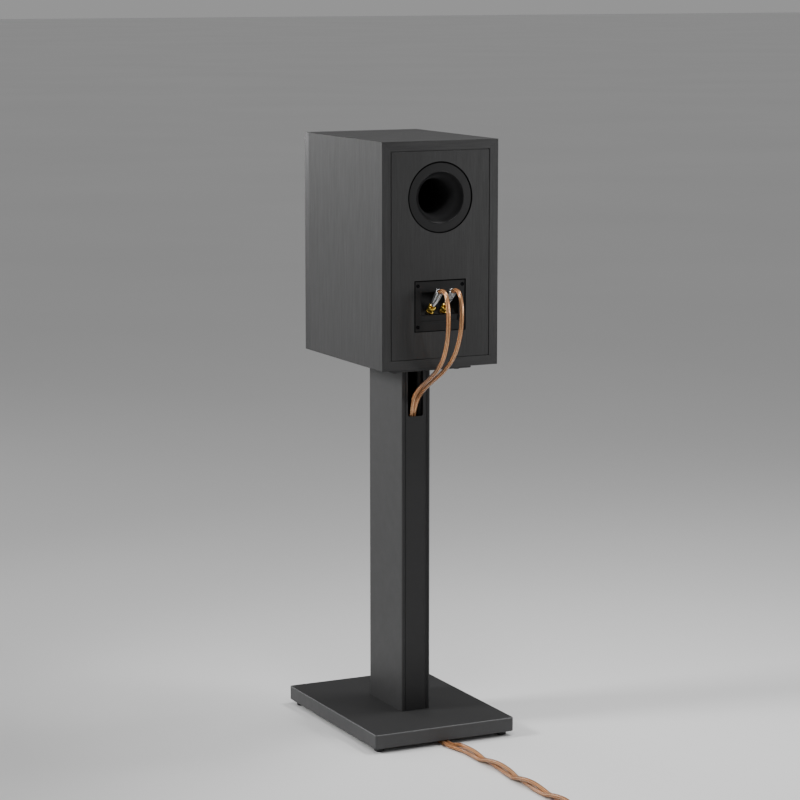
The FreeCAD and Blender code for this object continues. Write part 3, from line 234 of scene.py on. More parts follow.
def coated(
    name,
    colour,
    rough,
    grain,
    size,
    edge=EDGE,
    spread=0.06,
    specular=0.4,
    top_shade=1.0,
    edge_highlight=1.0,
):
    """Powder coat or moulded plastic: an even tone with a fine texture and slightly uneven gloss.

    grain is the depth of the texture in metres and size its fineness, edge the radius of the rounding,
    spread the unevenness of the tone. The last two arguments paint light: the first darkens the faces that
    look up, a painted shade, and makes them rougher; the second lightens the coat along their edges, a
    painted highlight.
    """
    n = Nodes(name)
    fine = n.noise(n.space(), size, 2, 0.5)
    cloud = n.noise(n.space(), 45, 5, 0.7)
    speck = n.noise(n.space(), size * 0.45, 1, 0.4)
    patch = n.ramp(cloud, (0.3, 0), (0.75, 1))
    tone = n.mix(patch, shade(colour, 1 - spread), shade(colour, 1 + spread))
    tone = n.mix(n.ramp(speck, (0.66, 0), (0.74, 0.5)), tone, shade(colour, 1.5))
    gloss = n.mix(n.ramp(cloud, (0.35, 0), (0.7, 1)), (rough + 0.025,) * 3, (rough - 0.025,) * 3)
    # Painted shade: the faces that look up are darkened, and made rougher.
    if top_shade < 1:
        upward = n.ramp(n.split(n.true_normal())[2], (0.6, 0), (0.95, 1))
        tone = n.mix(upward, tone, shade(colour, top_shade))
        gloss = n.mix(upward, gloss, (0.75,) * 3)
    soft = n.rounded(edge) if edge else None
    # Painted highlight: the coat is lightened where the upper edges round over.
    if edge_highlight > 1:
        turn = n.add("ShaderNodeVectorMath", operation="DOT_PRODUCT")
        n.link(soft, turn.inputs[0])
        n.link(n.true_normal(), turn.inputs[1])
        rounding = n.ramp(turn.outputs["Value"], (0.9, 1), (0.985, 0))
        upper = n.ramp(n.split(soft)[2], (0.15, 0), (0.35, 1))
        tone = n.mix(n.math("MULTIPLY", rounding, upper), tone, shade(colour, edge_highlight))
    normal = n.bump(fine, grain, 0.7, soft)
    return n.set(Base_Color=tone, Roughness=gloss, Normal=normal, Specular_IOR_Level=specular)


def recessed(name, colour, deep, face, depth, rough=0.42):
    """Moulded plastic that is paler below its face, a painted light on its inner walls.

    face is the Y of the moulding's face, deep the paler tone and depth how far below the face it has come
    in fully.
    """
    n = Nodes(coated(name, colour, rough, 0.00004, 2600, 0.0004, 0.1, 0.2))
    # Painted light: the tone grows paler with depth below the face.
    inward = n.add("ShaderNodeMapRange")
    inward.inputs["From Min"].default_value = face - 0.3 * depth
    inward.inputs["From Max"].default_value = face - depth
    n.link(n.split(n.coordinates.outputs["Object"])[1], inward.inputs["Value"])
    plain = n.shader.inputs["Base Color"].links[0].from_socket
    return n.set(Base_Color=n.mix(inward.outputs["Result"], plain, deep))


def plated(name, colour, rough):
    """Bare or plated metal, with a fine machined texture and a little tarnish."""
    n = Nodes(name)
    lines = n.noise(n.space(), 1800, 2, 0.5)
    cloud = n.noise(n.space(), 90, 3, 0.6)
    tone = n.mix(n.ramp(cloud, (0.35, 0), (0.75, 1)), shade(colour, 0.82), shade(colour, 1.06))
    gloss = n.mix(n.ramp(lines, (0.3, 0), (0.7, 1)), (rough + 0.1,) * 3, (rough - 0.08,) * 3)
    normal = n.bump(lines, 0.00003, 0.5, n.rounded(0.0002))
    return n.set(Base_Color=tone, Roughness=gloss, Metallic=1.0, Normal=normal)


def rubbery(name, colour, rough):
    """Rubber or foam rubber with a fine skin and a bloom of dust."""
    n = Nodes(name)
    fine = n.noise(n.space(), 2600, 2, 0.5)
    dust = n.noise(n.space(), 60, 4, 0.65)
    tone = n.mix(n.ramp(dust, (0.45, 0), (0.8, 0.5)), colour, shade(colour, 2.2))
    gloss = n.mix(n.ramp(dust, (0.4, 0), (0.75, 1)), (rough - 0.08,) * 3, (rough + 0.14,) * 3)
    return n.set(Base_Color=tone, Roughness=gloss, Normal=n.bump(fine, 0.00005, 0.6))


def woven(name, colour, scale, depth, rough=0.8):
    """Plain-woven cloth: two crossed sets of threads."""
    n = Nodes(name)
    threads = []
    for turn in ((0, math.radians(45), 0), (0, math.radians(-45), 0)):
        wave = n.add("ShaderNodeTexWave", wave_type="BANDS", bands_direction="X", wave_profile="SIN")
        n.link(n.space(turn=turn), wave.inputs["Vector"])
        wave.inputs["Scale"].default_value = scale
        wave.inputs["Distortion"].default_value = 0.6
        threads.append(wave.outputs["Fac"])
    weave = n.math("MULTIPLY", threads[0], threads[1])
    cloud = n.noise(n.space(), 70, 3, 0.6)
    tone = n.mix(n.ramp(weave, (0.1, 0), (0.7, 1)), shade(colour, 0.6), shade(colour, 1.25))
    tone = n.mix(n.ramp(cloud, (0.4, 0), (0.8, 0.3)), tone, shade(colour, 1.5))
    return n.set(Base_Color=tone, Roughness=rough, Normal=n.bump(weave, depth, 0.8), Sheen_Weight=0.3)


def fibrous(name, colour):
    """Loose felted wadding."""
    n = Nodes(name)
    strands = n.noise(n.space((1, 0.35, 0.5)), 420, 4, 0.7, 1.6)
    clump = n.noise(n.space(), 38, 3, 0.6)
    tone = n.mix(n.ramp(strands, (0.35, 0), (0.7, 1)), shade(colour, 0.7), shade(colour, 1.1))
    tone = n.mix(n.ramp(clump, (0.35, 0.4), (0.7, 0)), tone, shade(colour, 0.6))
    return n.set(Base_Color=tone, Roughness=0.95, Normal=n.bump(strands, 0.0015, 0.9), Sheen_Weight=0.6)


def raw_board(name, colour):
    """Uncoated fibreboard."""
    n = Nodes(name)
    fibre = n.noise(n.space((1, 1, 3)), 700, 4, 0.7, 0.6)
    cloud = n.noise(n.space(), 30, 3, 0.6)
    tone = n.mix(n.ramp(fibre, (0.35, 0), (0.68, 1)), shade(colour, 0.65), shade(colour, 1.2))
    tone = n.mix(n.ramp(cloud, (0.35, 0), (0.75, 0.4)), tone, shade(colour, 0.8))
    return n.set(Base_Color=tone, Roughness=0.9, Normal=n.bump(fibre, 0.0002, 0.6))


def wound(name, colour, scale):
    """Enamelled wire wound in even layers, its bands set by a scale along each axis."""
    n = Nodes(name)
    wave = n.add("ShaderNodeTexWave", wave_type="BANDS", bands_direction="DIAGONAL", wave_profile="SIN")
    n.link(n.space(scale), wave.inputs["Vector"])
    wave.inputs["Scale"].default_value = 260
    wave.inputs["Distortion"].default_value = 0.3
    cloud = n.noise(n.space(), 120, 2, 0.5)
    tone = n.mix(wave.outputs["Fac"], shade(colour, 0.45), shade(colour, 1.15))
    tone = n.mix(n.ramp(cloud, (0.4, 0), (0.8, 0.4)), tone, shade(colour, 0.7))
    turns = n.bump(wave.outputs["Fac"], 0.0003, 0.8)
    return n.set(Base_Color=tone, Roughness=0.28, Metallic=0.85, Normal=turns, Coat_Weight=0.4)


def circuit_board(name):
    """Solder mask with copper tracks showing under it and bare pads."""
    n = Nodes(name)
    cells = n.add("ShaderNodeTexVoronoi", feature="DISTANCE_TO_EDGE")
    n.link(n.space((1, 1, 0)), cells.inputs["Vector"])
    cells.inputs["Scale"].default_value = 55
    tracks = n.ramp(cells.outputs["Distance"], (0.05, 1), (0.08, 0))
    cloud = n.noise(n.space(), 160, 2, 0.5)
    tone = n.mix(tracks, hue("0d4a26"), hue("1f7a44"))
    tone = n.mix(n.ramp(cloud, (0.4, 0), (0.8, 0.35)), tone, hue("0a3a1e"))
    return n.set(Base_Color=tone, Roughness=0.32, Normal=n.bump(tracks, 0.00008, 0.6), Coat_Weight=0.3)


def clear_plastic(name, tint, body, clear, rough, shine, rim, drawn=None):
    """Clear moulding: what is inside it shows, its own tint gathers where it turns away, and it glints.

    body is the amount of its tint all over, clear the colour of what passes through, shine the strength
    of its reflections and rim the amount of tint where it turns away. drawn is the turn, about X, that lays
    the moulding's length along Z; it then has painted highlights, bright streaks that way.
    """
    n = Nodes(name)
    haze_and_painted_streaks = n.noise(n.space(), 240, 3, 0.6)
    if drawn is not None:
        # Painted highlights: the tint gathers in bright streaks along the length.
        along = n.add("ShaderNodeMapping")
        n.link(n.space(turn=(drawn, 0, 0)), along.inputs["Vector"])
        along.inputs["Scale"].default_value = (1, 1, 0.06)
        haze_and_painted_streaks = n.ramp(n.noise(along.outputs["Vector"], 420, 2, 0.5), (0.46, 0), (0.6, 1))
    fine = n.noise(n.space(), 900, 2, 0.5)
    through = n.add("ShaderNodeBsdfTransparent")
    through.inputs["Color"].default_value = (*clear, 1)
    facing = n.add("ShaderNodeLayerWeight")
    facing.inputs["Blend"].default_value = 0.5
    edge = n.math("POWER", facing.outputs["Facing"], 2.0)
    amount = n.math("ADD", n.math("MULTIPLY", edge, rim), n.math("MULTIPLY", haze_and_painted_streaks, body))
    glint = n.add("ShaderNodeBsdfGlossy")
    glint.inputs["Roughness"].default_value = rough
    fresnel = n.add("ShaderNodeFresnel")
    fresnel.inputs["IOR"].default_value = 1.5
    inside = n.mix_shaders(amount, through.outputs[0], n.shader.outputs[0])
    reflected = n.math("MULTIPLY", fresnel.outputs["Fac"], shine)
    skin = n.mix_shaders(reflected, inside, glint.outputs[0])
    n.link(skin, n.output.inputs["Surface"])
    tone = n.ramp(haze_and_painted_streaks, (0.3, shade(tint, 0.7)), (0.7, tint))
    return n.set(Base_Color=tone, Roughness=rough + 0.1, Normal=n.bump(fine, 0.00004, 0.4))


def with_plated_end(material, limit, colour):
    """Turns a clear material into bare plating where the piece's Y is less than a limit."""
    n = Nodes(material)
    surface = n.output.inputs["Surface"]
    beyond = n.math("LESS_THAN", n.split(n.coordinates.outputs["Object"])[1], limit)
    metal = n.add("ShaderNodeBsdfPrincipled")
    metal.inputs["Base Color"].default_value = (*colour, 1)
    metal.inputs["Metallic"].default_value = 1.0
    metal.inputs["Roughness"].default_value = 0.18
    n.link(n.mix_shaders(beyond, surface.links[0].from_socket, metal.outputs[0]), surface)
    return material


def copper_strands(name):
    """Bare copper strands laid in a long twist, drawn with the tube's own lengthwise coordinates."""
    n = Nodes(name)
    around, along, _ = n.split(n.coordinates.outputs["UV"])
    lay = n.math("ADD", n.math("MULTIPLY", around, 7.0), n.math("MULTIPLY", along, 9.0))
    ridge = n.math("SINE", n.math("MULTIPLY", lay, 2 * math.pi))
    height = n.math("ADD", n.math("MULTIPLY", ridge, 0.5), 0.5)
    cloud = n.noise(n.space(), 45, 3, 0.6)
    shine = n.noise(n.space(), 900, 2, 0.5)
    # Painted shade and highlight: darker in the grooves between strands, lighter on their crowns.
    tone = n.mix(n.ramp(height, (0.0, 0), (0.7, 1)), hue("9c4619"), hue("ffd6a2"))
    tone = n.mix(n.ramp(cloud, (0.35, 0), (0.75, 0.4)), tone, hue("ffb67a"))
    gloss = n.mix(shine, (0.2,) * 3, (0.32,) * 3)
    return n.set(Base_Color=tone, Metallic=0.5, Roughness=gloss, Normal=n.bump(height, 0.0005, 0.8))


CHARCOAL = (0.027, 0.027, 0.0275)
CUP_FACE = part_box("terminal_cup")[1][1]
PORT_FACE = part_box("port_flare")[1][1]
SLEEVE_LENGTH = 0.0335
FAR_SLEEVE_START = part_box("far_banana_plugs")[1][1] - SLEEVE_LENGTH
SLEEVE_TINT = (0.97, 0.98, 1.0)
SLEEVE_CLEAR = (0.97, 0.97, 0.98)
PLUG_GOLD = hue("d9b778")
LOOKS = {
    "cabinet_side_left": grained("side_vinyl", CHARCOAL, 2),
    "cabinet_top_panel": grained("top_vinyl", CHARCOAL, 0),
    # Painted shade: the rear panel has the side vinyl made darker.
    "rear_panel": grained("rear_vinyl", shade(CHARCOAL, 0.8), 2, 0.14),
    "front_baffle": coated("baffle_paint", (0.017, 0.017, 0.018), 0.38, 0.00004, 1200),
    "cabinet_brace": raw_board("bare_board", hue("a5835a")),
    "damping_wadding": fibrous("wadding", hue("d8dad6")),
    "port_flare": recessed(
        "port_moulding", (0.009, 0.009, 0.0095), (0.034, 0.034, 0.035), PORT_FACE, 0.012, 0.4
    ),
    "port_tube": coated("tube_moulding", (0.03, 0.03, 0.031), 0.5, 0.00003, 2400, 0.0004),
    "terminal_cup": recessed(
        "cup_moulding", (0.011, 0.011, 0.0115), (0.05, 0.05, 0.051), CUP_FACE, 0.02
    ),
    "terminal_screws": plated("blackened_steel", (0.008, 0.008, 0.009), 0.5),
    "binding_post_studs": plated("gold_turned", hue("e8bd5e"), 0.16),
    "binding_post_insulators": coated("insulator_black", (0.02, 0.02, 0.02), 0.4, 0.00002, 3000, 0.0002),
    "binding_post_rear_hardware": plated("zinc_steel", hue("b5b8ba"), 0.26),
    "crossover_board": circuit_board("circuit_board"),
    "crossover_inductors": wound("enamelled_copper", hue("c4622f"), (0.2, 0.2, 6)),
    "crossover_capacitors": coated("capacitor_film", hue("a32a16"), 0.24, 0.00002, 900, 0.0004),
    "crossover_resistors": coated("fired_ceramic", hue("d8d5c8"), 0.7, 0.00006, 1400, 0.0004),
    "crossover_standoffs": coated("natural_nylon", hue("d6d4c8"), 0.45, 0.00002, 1400, 0.0003),
    "internal_wiring": coated("wire_insulation", hue("8f1510"), 0.3, 0.00002, 1200, 0),
    "woofer_basket": coated("basket_coat", (0.02, 0.02, 0.021), 0.5, 0.00008, 1100),
    "woofer_trim_ring": coated("trim_moulding", (0.026, 0.026, 0.028), 0.3, 0.00002, 2400, 0.0004),
    "woofer_surround": rubbery("surround_rubber", (0.018, 0.018, 0.019), 0.45),
    "woofer_spider": woven("spider_cloth", hue("a8843c"), 260, 0.0002),
    "woofer_magnet": coated("ferrite", (0.035, 0.035, 0.038), 0.55, 0.0001, 700, 0.0005),
    "tweeter_surround": woven("silk_roll", (0.012, 0.012, 0.014), 900, 0.00003, 0.5),
    "driver_gaskets": rubbery("gasket_foam", (0.03, 0.03, 0.03), 0.9),
    "stand_column": coated(
        "column_coat", (0.038, 0.038, 0.0385), 0.46, 0.00007, 1500, 0.0008, 0.05, 0.3
    ),
    "stand_column_cover": coated(
        "cover_coat", (0.02, 0.02, 0.0205), 0.48, 0.00007, 1500, 0.0003, 0.05, 0.3
    ),
    # This coat has a painted shade on the faces that look up and a painted highlight along their edges.
    "stand_base_plate": coated(
        "base_coat",
        (0.051, 0.051, 0.052),
        0.5,
        0.0001,
        1300,
        0.0022,
        0.05,
        0.3,
        top_shade=0.35,
        edge_highlight=5.0,
    ),
    "stand_feet": rubbery("foot_rubber", (0.016, 0.016, 0.017), 0.7),
    "banana_plug_contacts": plated("plug_plating", PLUG_GOLD, 0.14),
    "banana_plug_sleeves": clear_plastic(
        "clear_sleeve", SLEEVE_TINT, 0.55, SLEEVE_CLEAR, 0.1, 1.2, 0.75, math.radians(45)
    ),
    "far_banana_plugs": with_plated_end(
        clear_plastic(
            "clear_far_sleeve", SLEEVE_TINT, 0.5, SLEEVE_CLEAR, 0.1, 1.2, 0.75, math.radians(90)
        ),
        FAR_SLEEVE_START,
        PLUG_GOLD,
    ),
    "knurled": plated("gold_knurled", hue("ffd766"), 0.24),
    "cone": coated("filled_polymer", (0.03, 0.03, 0.033), 0.36, 0.00006, 500, 0),
    "copper": copper_strands("copper_strands"),
    "jacket": clear_plastic("clear_jacket", hue("6a3818"), 0.03, (1.0, 0.98, 0.96), 0.14, 0.6, 0.75),
    "collar": coated("sleeve_insert", hue("2c0f0b"), 0.35, 0.00002, 2600, 0),
    # Painted shadow: a near-black band round the terminal plate and the port's flange.
    "painted_rim_shadow": coated(
        "painted_rim_shadow", (0.0015, 0.0015, 0.0015), 0.9, 0.00008, 2200, 0, 0.2, 0.05
    ),
    "rubber_pad": rubbery("pad_rubber", (0.02, 0.02, 0.021), 0.7),
}
SAME_LOOK = {
    "cabinet_side_right": "cabinet_side_left",
    "cabinet_bottom_panel": "cabinet_top_panel",
    "driver_screws": "terminal_screws",
    "speaker_fixing_screws": "terminal_screws",
    "stand_column_bolts": "terminal_screws",
    "binding_post_washer_positive": "binding_post_studs",
    "binding_post_washer_negative": "binding_post_studs",
    "binding_post_nut_positive": "knurled",
    "binding_post_nut_negative": "knurled",
    "woofer_cone": "cone",
    "woofer_dust_cap": "cone",
    "woofer_voice_coil": "crossover_inductors",
    "tweeter_voice_coil": "crossover_inductors",
    "woofer_top_plate": "binding_post_rear_hardware",
    "woofer_yoke": "binding_post_rear_hardware",
    "tweeter_top_plate": "binding_post_rear_hardware",
    "tweeter_yoke": "binding_post_rear_hardware",
    "threaded_inserts": "binding_post_rear_hardware",
    "tweeter_magnet": "woofer_magnet",
    "tweeter_faceplate": "woofer_trim_ring",
    "tweeter_dome": "tweeter_surround",
    "stand_top_plate": "stand_base_plate",
    "stand_isolation_pads": "rubber_pad",
    "cable_lead_positive": "jacket",
    "cable_lead_negative": "jacket",
    "cable_floor_pair": "jacket",
    "cable_coil": "jacket",
}


def look(name):
    return LOOKS[SAME_LOOK.get(name, name)]


for node_name, node in NODES.items():
    node.data.materials.clear()
    node.data.materials.append(look(node_name))


# ---------------------------------------------------------------- mesh helpers


def add_mesh(name, vertices, faces, materials, body=ROOT, sharp=35.0, face_slots=None, uvs=None):
    """A shown piece from vertices and faces, smooth but for edges past an angle, riding on a body."""
    mesh = bpy.data.meshes.new(name)
    mesh.from_pydata([tuple(v) for v in vertices], [], [tuple(f) for f in faces])
    for material in materials:
        mesh.materials.append(material)
    if face_slots is not None:
        mesh.polygons.foreach_set("material_index", face_slots)
    if uvs is not None:
        layer = mesh.uv_layers.new(name="along")
        layer.data.foreach_set("uv", np.asarray(uvs, np.float32).ravel())
    mesh.polygons.foreach_set("use_smooth", [True] * len(mesh.polygons))
    mesh.set_sharp_from_angle(angle=math.radians(sharp))
    mesh.update()
    piece = bpy.data.objects.new(name, mesh)
    bpy.context.scene.collection.objects.link(piece)
    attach(piece, body)
    return piece


def grid_faces(rows, columns, first=0, close_rows=False):
    """Quads over a grid of rows by columns of vertices, closed round the columns."""
    faces = []
    for i in range(rows if close_rows else rows - 1):
        low = first + i * columns
        high = first + ((i + 1) % rows) * columns
        for j in range(columns):
            k = (j + 1) % columns
            faces.append((low + j, low + k, high + k, high + j))
    return faces


def turned(profile, place, segments, wobble=None):
    """Vertices and faces of a closed profile of (radius, along) in mm, turned about a placement's Z.

    wobble(radius, along, angle) may return a changed radius, for flutes and ribs.
    """
    vertices = []
    for radius, along in profile:
        for j in range(segments):
            angle = 2 * math.pi * j / segments
            r = wobble(radius, along, angle) if wobble else radius
            point = Vector((r * math.cos(angle) * MM, r * math.sin(angle) * MM, along * MM))
            vertices.append(place @ point)
    return vertices, grid_faces(len(profile), segments, close_rows=True)


def axis_place(origin, direction):
    """Placement at origin (mm) whose Z axis points along direction."""
    rotation = Vector(direction).to_track_quat("Z", "X").to_matrix().to_4x4()
    return Matrix.Translation(Vector(origin) * MM) @ rotation


# ---------------------------------------------------------------- speaker cable

# Everything down to TAIL is in millimetres: the radii of a conductor and of its bare strands, and half
# the distance between the middles of two conductors that lie side by side.
CONDUCTOR = 3.5
CORE = 3.2
HALF_GAP = 3.65
# Control points of each lead, from its plug down through the column and out under the base.
LEADS = {
    "positive": [
        (11.8, 160.6, 726.3),
        (11.8, 169.6, 734.4),
        (11.8, 182.6, 735.4),
        (11.8, 193.0, 727.6),
        (11.8, 198.4, 709.0),
        (11.7, 199.2, 684.0),
        (11.5, 195.0, 656.0),
        (11.1, 182.0, 629.0),
        (10.3, 158.5, 607.0),
        (9.2, 128.0, 589.5),
        (7.8, 96.0, 573.5),
        (6.2, 69.0, 555.0),
        (5.0, 54.0, 530.0),
        (4.6, 50.5, 496.0),
        (4.9, 48.0, 430.0),
        (3.9, 45.5, 345.0),
        (4.7, 47.0, 258.0),
        (3.2, 45.0, 172.0),
        (3.5, 37.5, 108.0),
        (3.3, 31.0, 66.0),
        (3.1, 36.0, 34.0),
        (3.0, 56.0, 14.5),
        (2.9, 86.0, 5.4),
        (3.1, 122.0, 3.8),
        (3.0, 154.0, 3.7),
        (3.0, 184.0, 3.9),
    ],
    "negative": [
        (-11.8, 160.6, 726.3),
        (-11.8, 169.6, 734.4),
        (-11.8, 182.6, 735.8),
        (-11.6, 193.6, 728.4),
        (-11.3, 200.0, 709.0),
        (-10.6, 200.6, 684.0),
        (-9.2, 195.0, 656.0),
        (-7.2, 180.5, 629.0),
        (-5.0, 156.0, 607.0),
        (-3.3, 126.0, 589.0),
        (-2.2, 94.0, 572.0),
        (-1.8, 66.0, 552.0),
        (-1.6, 50.5, 527.0),
        (-2.0, 46.0, 495.0),
        (-2.6, 44.5, 430.0),
        (-3.6, 43.0, 345.0),
        (-2.8, 44.0, 258.0),
        (-4.3, 42.5, 172.0),
        (-4.0, 36.0, 108.0),
        (-4.2, 30.0, 66.0),
        (-4.4, 35.0, 34.0),
        (-4.5, 55.0, 14.5),
        (-4.6, 85.0, 5.4),
        (-4.4, 122.0, 3.8),
        (-4.5, 154.0, 3.7),
        (-4.5, 184.0, 3.9),
    ],
}
# Control points of the pair's middle, over the floor to where the coil begins.
PAIR = [
    (-0.75, 185.2, 7.4),
    (-5.0, 212.0, 7.4),
    (-8.3, 252.0, 7.4),
    (-11.2, 300.0, 7.4),
    (-11.4, 350.0, 7.4),
    (-9.9, 402.0, 7.4),
    (-10.4, 448.0, 7.4),
    (-14.0, 498.0, 7.4),
    (-13.0, 548.0, 7.4),
    (-4.0, 594.0, 7.4),
    (7.0, 634.0, 7.4),
    (12.2, 676.0, 7.4),
]
# The coil's middle (X, Y), the radii of its two lanes and the heights of its two layers.
COIL = (-62.4, 714.0)
OUTER_LANE = 74.3
INNER_LANE = 59.7
LOW_LAYER = 7.3
HIGH_LAYER = 21.9
COIL_STEP = 30  # degrees from one control point to the next
LANE_TO_CONTROLS = 0.966  # radius of the curve over that of its control points, at that step
# From the last turn up on to the coil and between the two plugs that lie there, relative to its middle.
TAIL = [
    (-29.0, 69.0, 23.0),
    (-45.5, 59.0, 27.5),
    (-56.0, 47.0, 34.0),
    (-59.6, 35.0, 35.8),
    (-60.4, 27.0, 35.8),
    (-60.9, 20.2, 35.8),
]

# How far the pair has turned about its own line at distances along it (m, degrees).
TWIST = [
    (0.0, 0),
    (0.012, -30),
    (0.045, -95),
    (0.09, 0),
    (0.145, 90),
    (0.20, 180),
    (0.247, 270),
    (0.295, 360),
]
TURN_LENGTH = 0.2  # of the twist from there on, as a rule (m)
PARTING = 0.055  # how far before its end the pair begins to open towards the two plugs (m)
OPENING_LENGTH = 0.045  # over which it opens (m)
FAR_HALF_GAP = 6.45  # half the distance between the far plugs' middles (mm)
LYING_RADIUS = 3.6  # height of a conductor's middle where it lies on the floor (mm)
LIFT_START = 0.600  # Y from which the pair leaves the floor for the coil's lower layer (m)
LIFT_LENGTH = 0.050


def eased(value, start, end):
    """0 before start, 1 after end, and smoothly between."""
    t = min(max((value - start) / (end - start), 0.0), 1.0)
    return t * t * (3 - 2 * t)


def coil_points():
    """Control points of the turns: outer lane, inner lane, the inner lane one layer up, the outer one."""
    points = []
    for angle in range(15, 1190, COIL_STEP):
        inward = eased(angle, 300, 360) - eased(angle, 900, 960)
        lifted = eased(angle, 600, 660)
        radius = (OUTER_LANE + (INNER_LANE - OUTER_LANE) * inward) / LANE_TO_CONTROLS
        z = LOW_LAYER + (HIGH_LAYER - LOW_LAYER) * lifted
        a = math.radians(angle)
        points.append((COIL[0] + radius * math.cos(a), COIL[1] + radius * math.sin(a), z))
    return points


def nurbs_line(name, points):
    """The points that a smooth NURBS spline through these control points (mm) comes to, in metres."""
    curve = bpy.data.curves.new(name, "CURVE")
    curve.dimensions = "3D"
    curve.resolution_u = 14
    spline = curve.splines.new("NURBS")
    spline.points.add(len(points) - 1)
    for target, source in zip(spline.points, points):
        target.co = (*(c * MM for c in source), 1.0)
    spline.order_u = 3
    spline.use_endpoint_u = True
    holder = bpy.data.objects.new(name, curve)
    bpy.context.scene.collection.objects.link(holder)
    bpy.context.view_layer.update()
    evaluated = holder.evaluated_get(bpy.context.evaluated_depsgraph_get())
    mesh = bpy.data.meshes.new_from_object(evaluated)
    line = np.array([v.co for v in mesh.vertices], float)
    bpy.data.meshes.remove(mesh)
    bpy.data.objects.remove(holder)
    bpy.data.curves.remove(curve)
    return line


def run_along(line):
    """Distance along a line of points, from its start."""
    steps = np.linalg.norm(np.diff(line, axis=0), axis=1)
    return np.concatenate([[0.0], np.cumsum(steps)])


def directions(line):
    """Unit vectors along a line at each of its points."""
    ahead = np.empty_like(line)
    ahead[1:-1] = line[2:] - line[:-2]
    ahead[0] = line[1] - line[0]
    ahead[-1] = line[-1] - line[-2]
    return ahead / np.linalg.norm(ahead, axis=1)[:, None]


def pair_strands():
    """Two lines twisted about the pair's own: over the floor, round the coil and up to the plugs."""
    tail = [(COIL[0] + x, COIL[1] + y, z) for x, y, z in TAIL]
    centre = nurbs_line("pair_route", PAIR + coil_points() + tail)
    reach = run_along(centre)
    ahead = directions(centre)
    side = np.cross(ahead, (0, 0, 1))
    side /= np.linalg.norm(side, axis=1)[:, None]
    up = np.cross(side, ahead)
    last_run, last_turn = TWIST[-1]
    remaining = reach[-1] - PARTING - last_run
    end_turn = last_turn + 360 * round(remaining / TURN_LENGTH)
    lay = TWIST + [(last_run + remaining, end_turn), (reach[-1] + 0.01, end_turn)]
    chart = nurbs_line("lay", [(run / MM, angle, 0) for run, angle in lay])
    twist = np.radians(np.interp(reach, chart[:, 0], chart[:, 1] / MM))
    lifted = np.clip((centre[:, 1] - LIFT_START) / LIFT_LENGTH, 0, 1)
    lifted = np.maximum.accumulate(lifted)
    lying = (LYING_RADIUS + HALF_GAP * np.abs(np.sin(twist))) * MM
    centre[:, 2] = lying * (1 - lifted) + centre[:, 2] * lifted
    opening = np.clip((reach - reach[-1] + PARTING) / OPENING_LENGTH, 0, 1)
    opening = opening * opening * (3 - 2 * opening)
    gap = (HALF_GAP + (FAR_HALF_GAP - HALF_GAP) * opening) * MM
    offset = (side * np.cos(twist)[:, None] + up * np.sin(twist)[:, None]) * gap[:, None]
    return {"positive": centre + offset, "negative": centre - offset}


def tube(line, radius, sides):
    """Vertices, faces and coordinates (turns round, metres along) of a closed tube along a line."""
    ahead = directions(line)
    across = np.zeros_like(line)
    across[0] = np.cross(ahead[0], (1.0, 0.0, 0.0))
    across[0] /= np.linalg.norm(across[0])
    for i in range(1, len(line)):
        carried = across[i - 1] - ahead[i] * (across[i - 1] @ ahead[i])
        across[i] = carried / np.linalg.norm(carried)
    third = np.cross(ahead, across)
    angles = np.linspace(0, 2 * math.pi, sides, endpoint=False)
    rings = (
        line[:, None, :]
        + radius * np.cos(angles)[None, :, None] * across[:, None, :]
        + radius * np.sin(angles)[None, :, None] * third[:, None, :]
    )
    faces = grid_faces(len(line), sides)
    reach = run_along(line)
    uvs = []
    for i in range(len(line) - 1):
        for j in range(sides):
            u0, u1 = j / sides, (j + 1) / sides
            uvs += [(u0, reach[i]), (u1, reach[i]), (u1, reach[i + 1]), (u0, reach[i + 1])]
    total = len(line) * sides
    faces.append(tuple(reversed(range(sides))))
    faces.append(tuple(range(total - sides, total)))
    uvs += [(0.0, 0.0)] * sides + [(0.0, reach[-1])] * sides
    return rings.reshape(-1, 3), faces, uvs


def make_conductor(name, line):
    """Clear jacket over bare strands, in one mesh."""
    outer, outer_faces, outer_uvs = tube(line, CONDUCTOR * MM, 20)
    core, core_faces, core_uvs = tube(line, CORE * MM, 16)
    shift = len(outer)
    faces = outer_faces + [tuple(i + shift for i in f) for f in core_faces]
    slots = [0] * len(outer_faces) + [1] * len(core_faces)
    return add_mesh(
        name,
        np.concatenate([outer, core]),
        faces,
        [LOOKS["jacket"], LOOKS["copper"]],
        sharp=60,
        face_slots=slots,
        uvs=outer_uvs + core_uvs,
    )


def make_cable():
    """The two conductors: from their plugs, down the column, twisted over the floor and coiled."""
    strands = pair_strands()
    for side, x in (("positive", 11.8), ("negative", -11.8)):
        lead = nurbs_line(f"{side}_route", LEADS[side])
        line = np.concatenate([lead, strands[side][1:]])
        name = f"conductor_{side}"
        piece = make_conductor(name, line)
        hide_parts(f"cable_lead_{side}", "cable_floor_pair", "cable_coil")


make_cable()


# ---------------------------------------------------------------- terminals

POSTS = {"positive": (11.8, 131.5, 696.4), "negative": (-11.8, 131.5, 696.4)}
POST_AXIS = (0, math.sqrt(0.5), math.sqrt(0.5))
FLUTES = 30


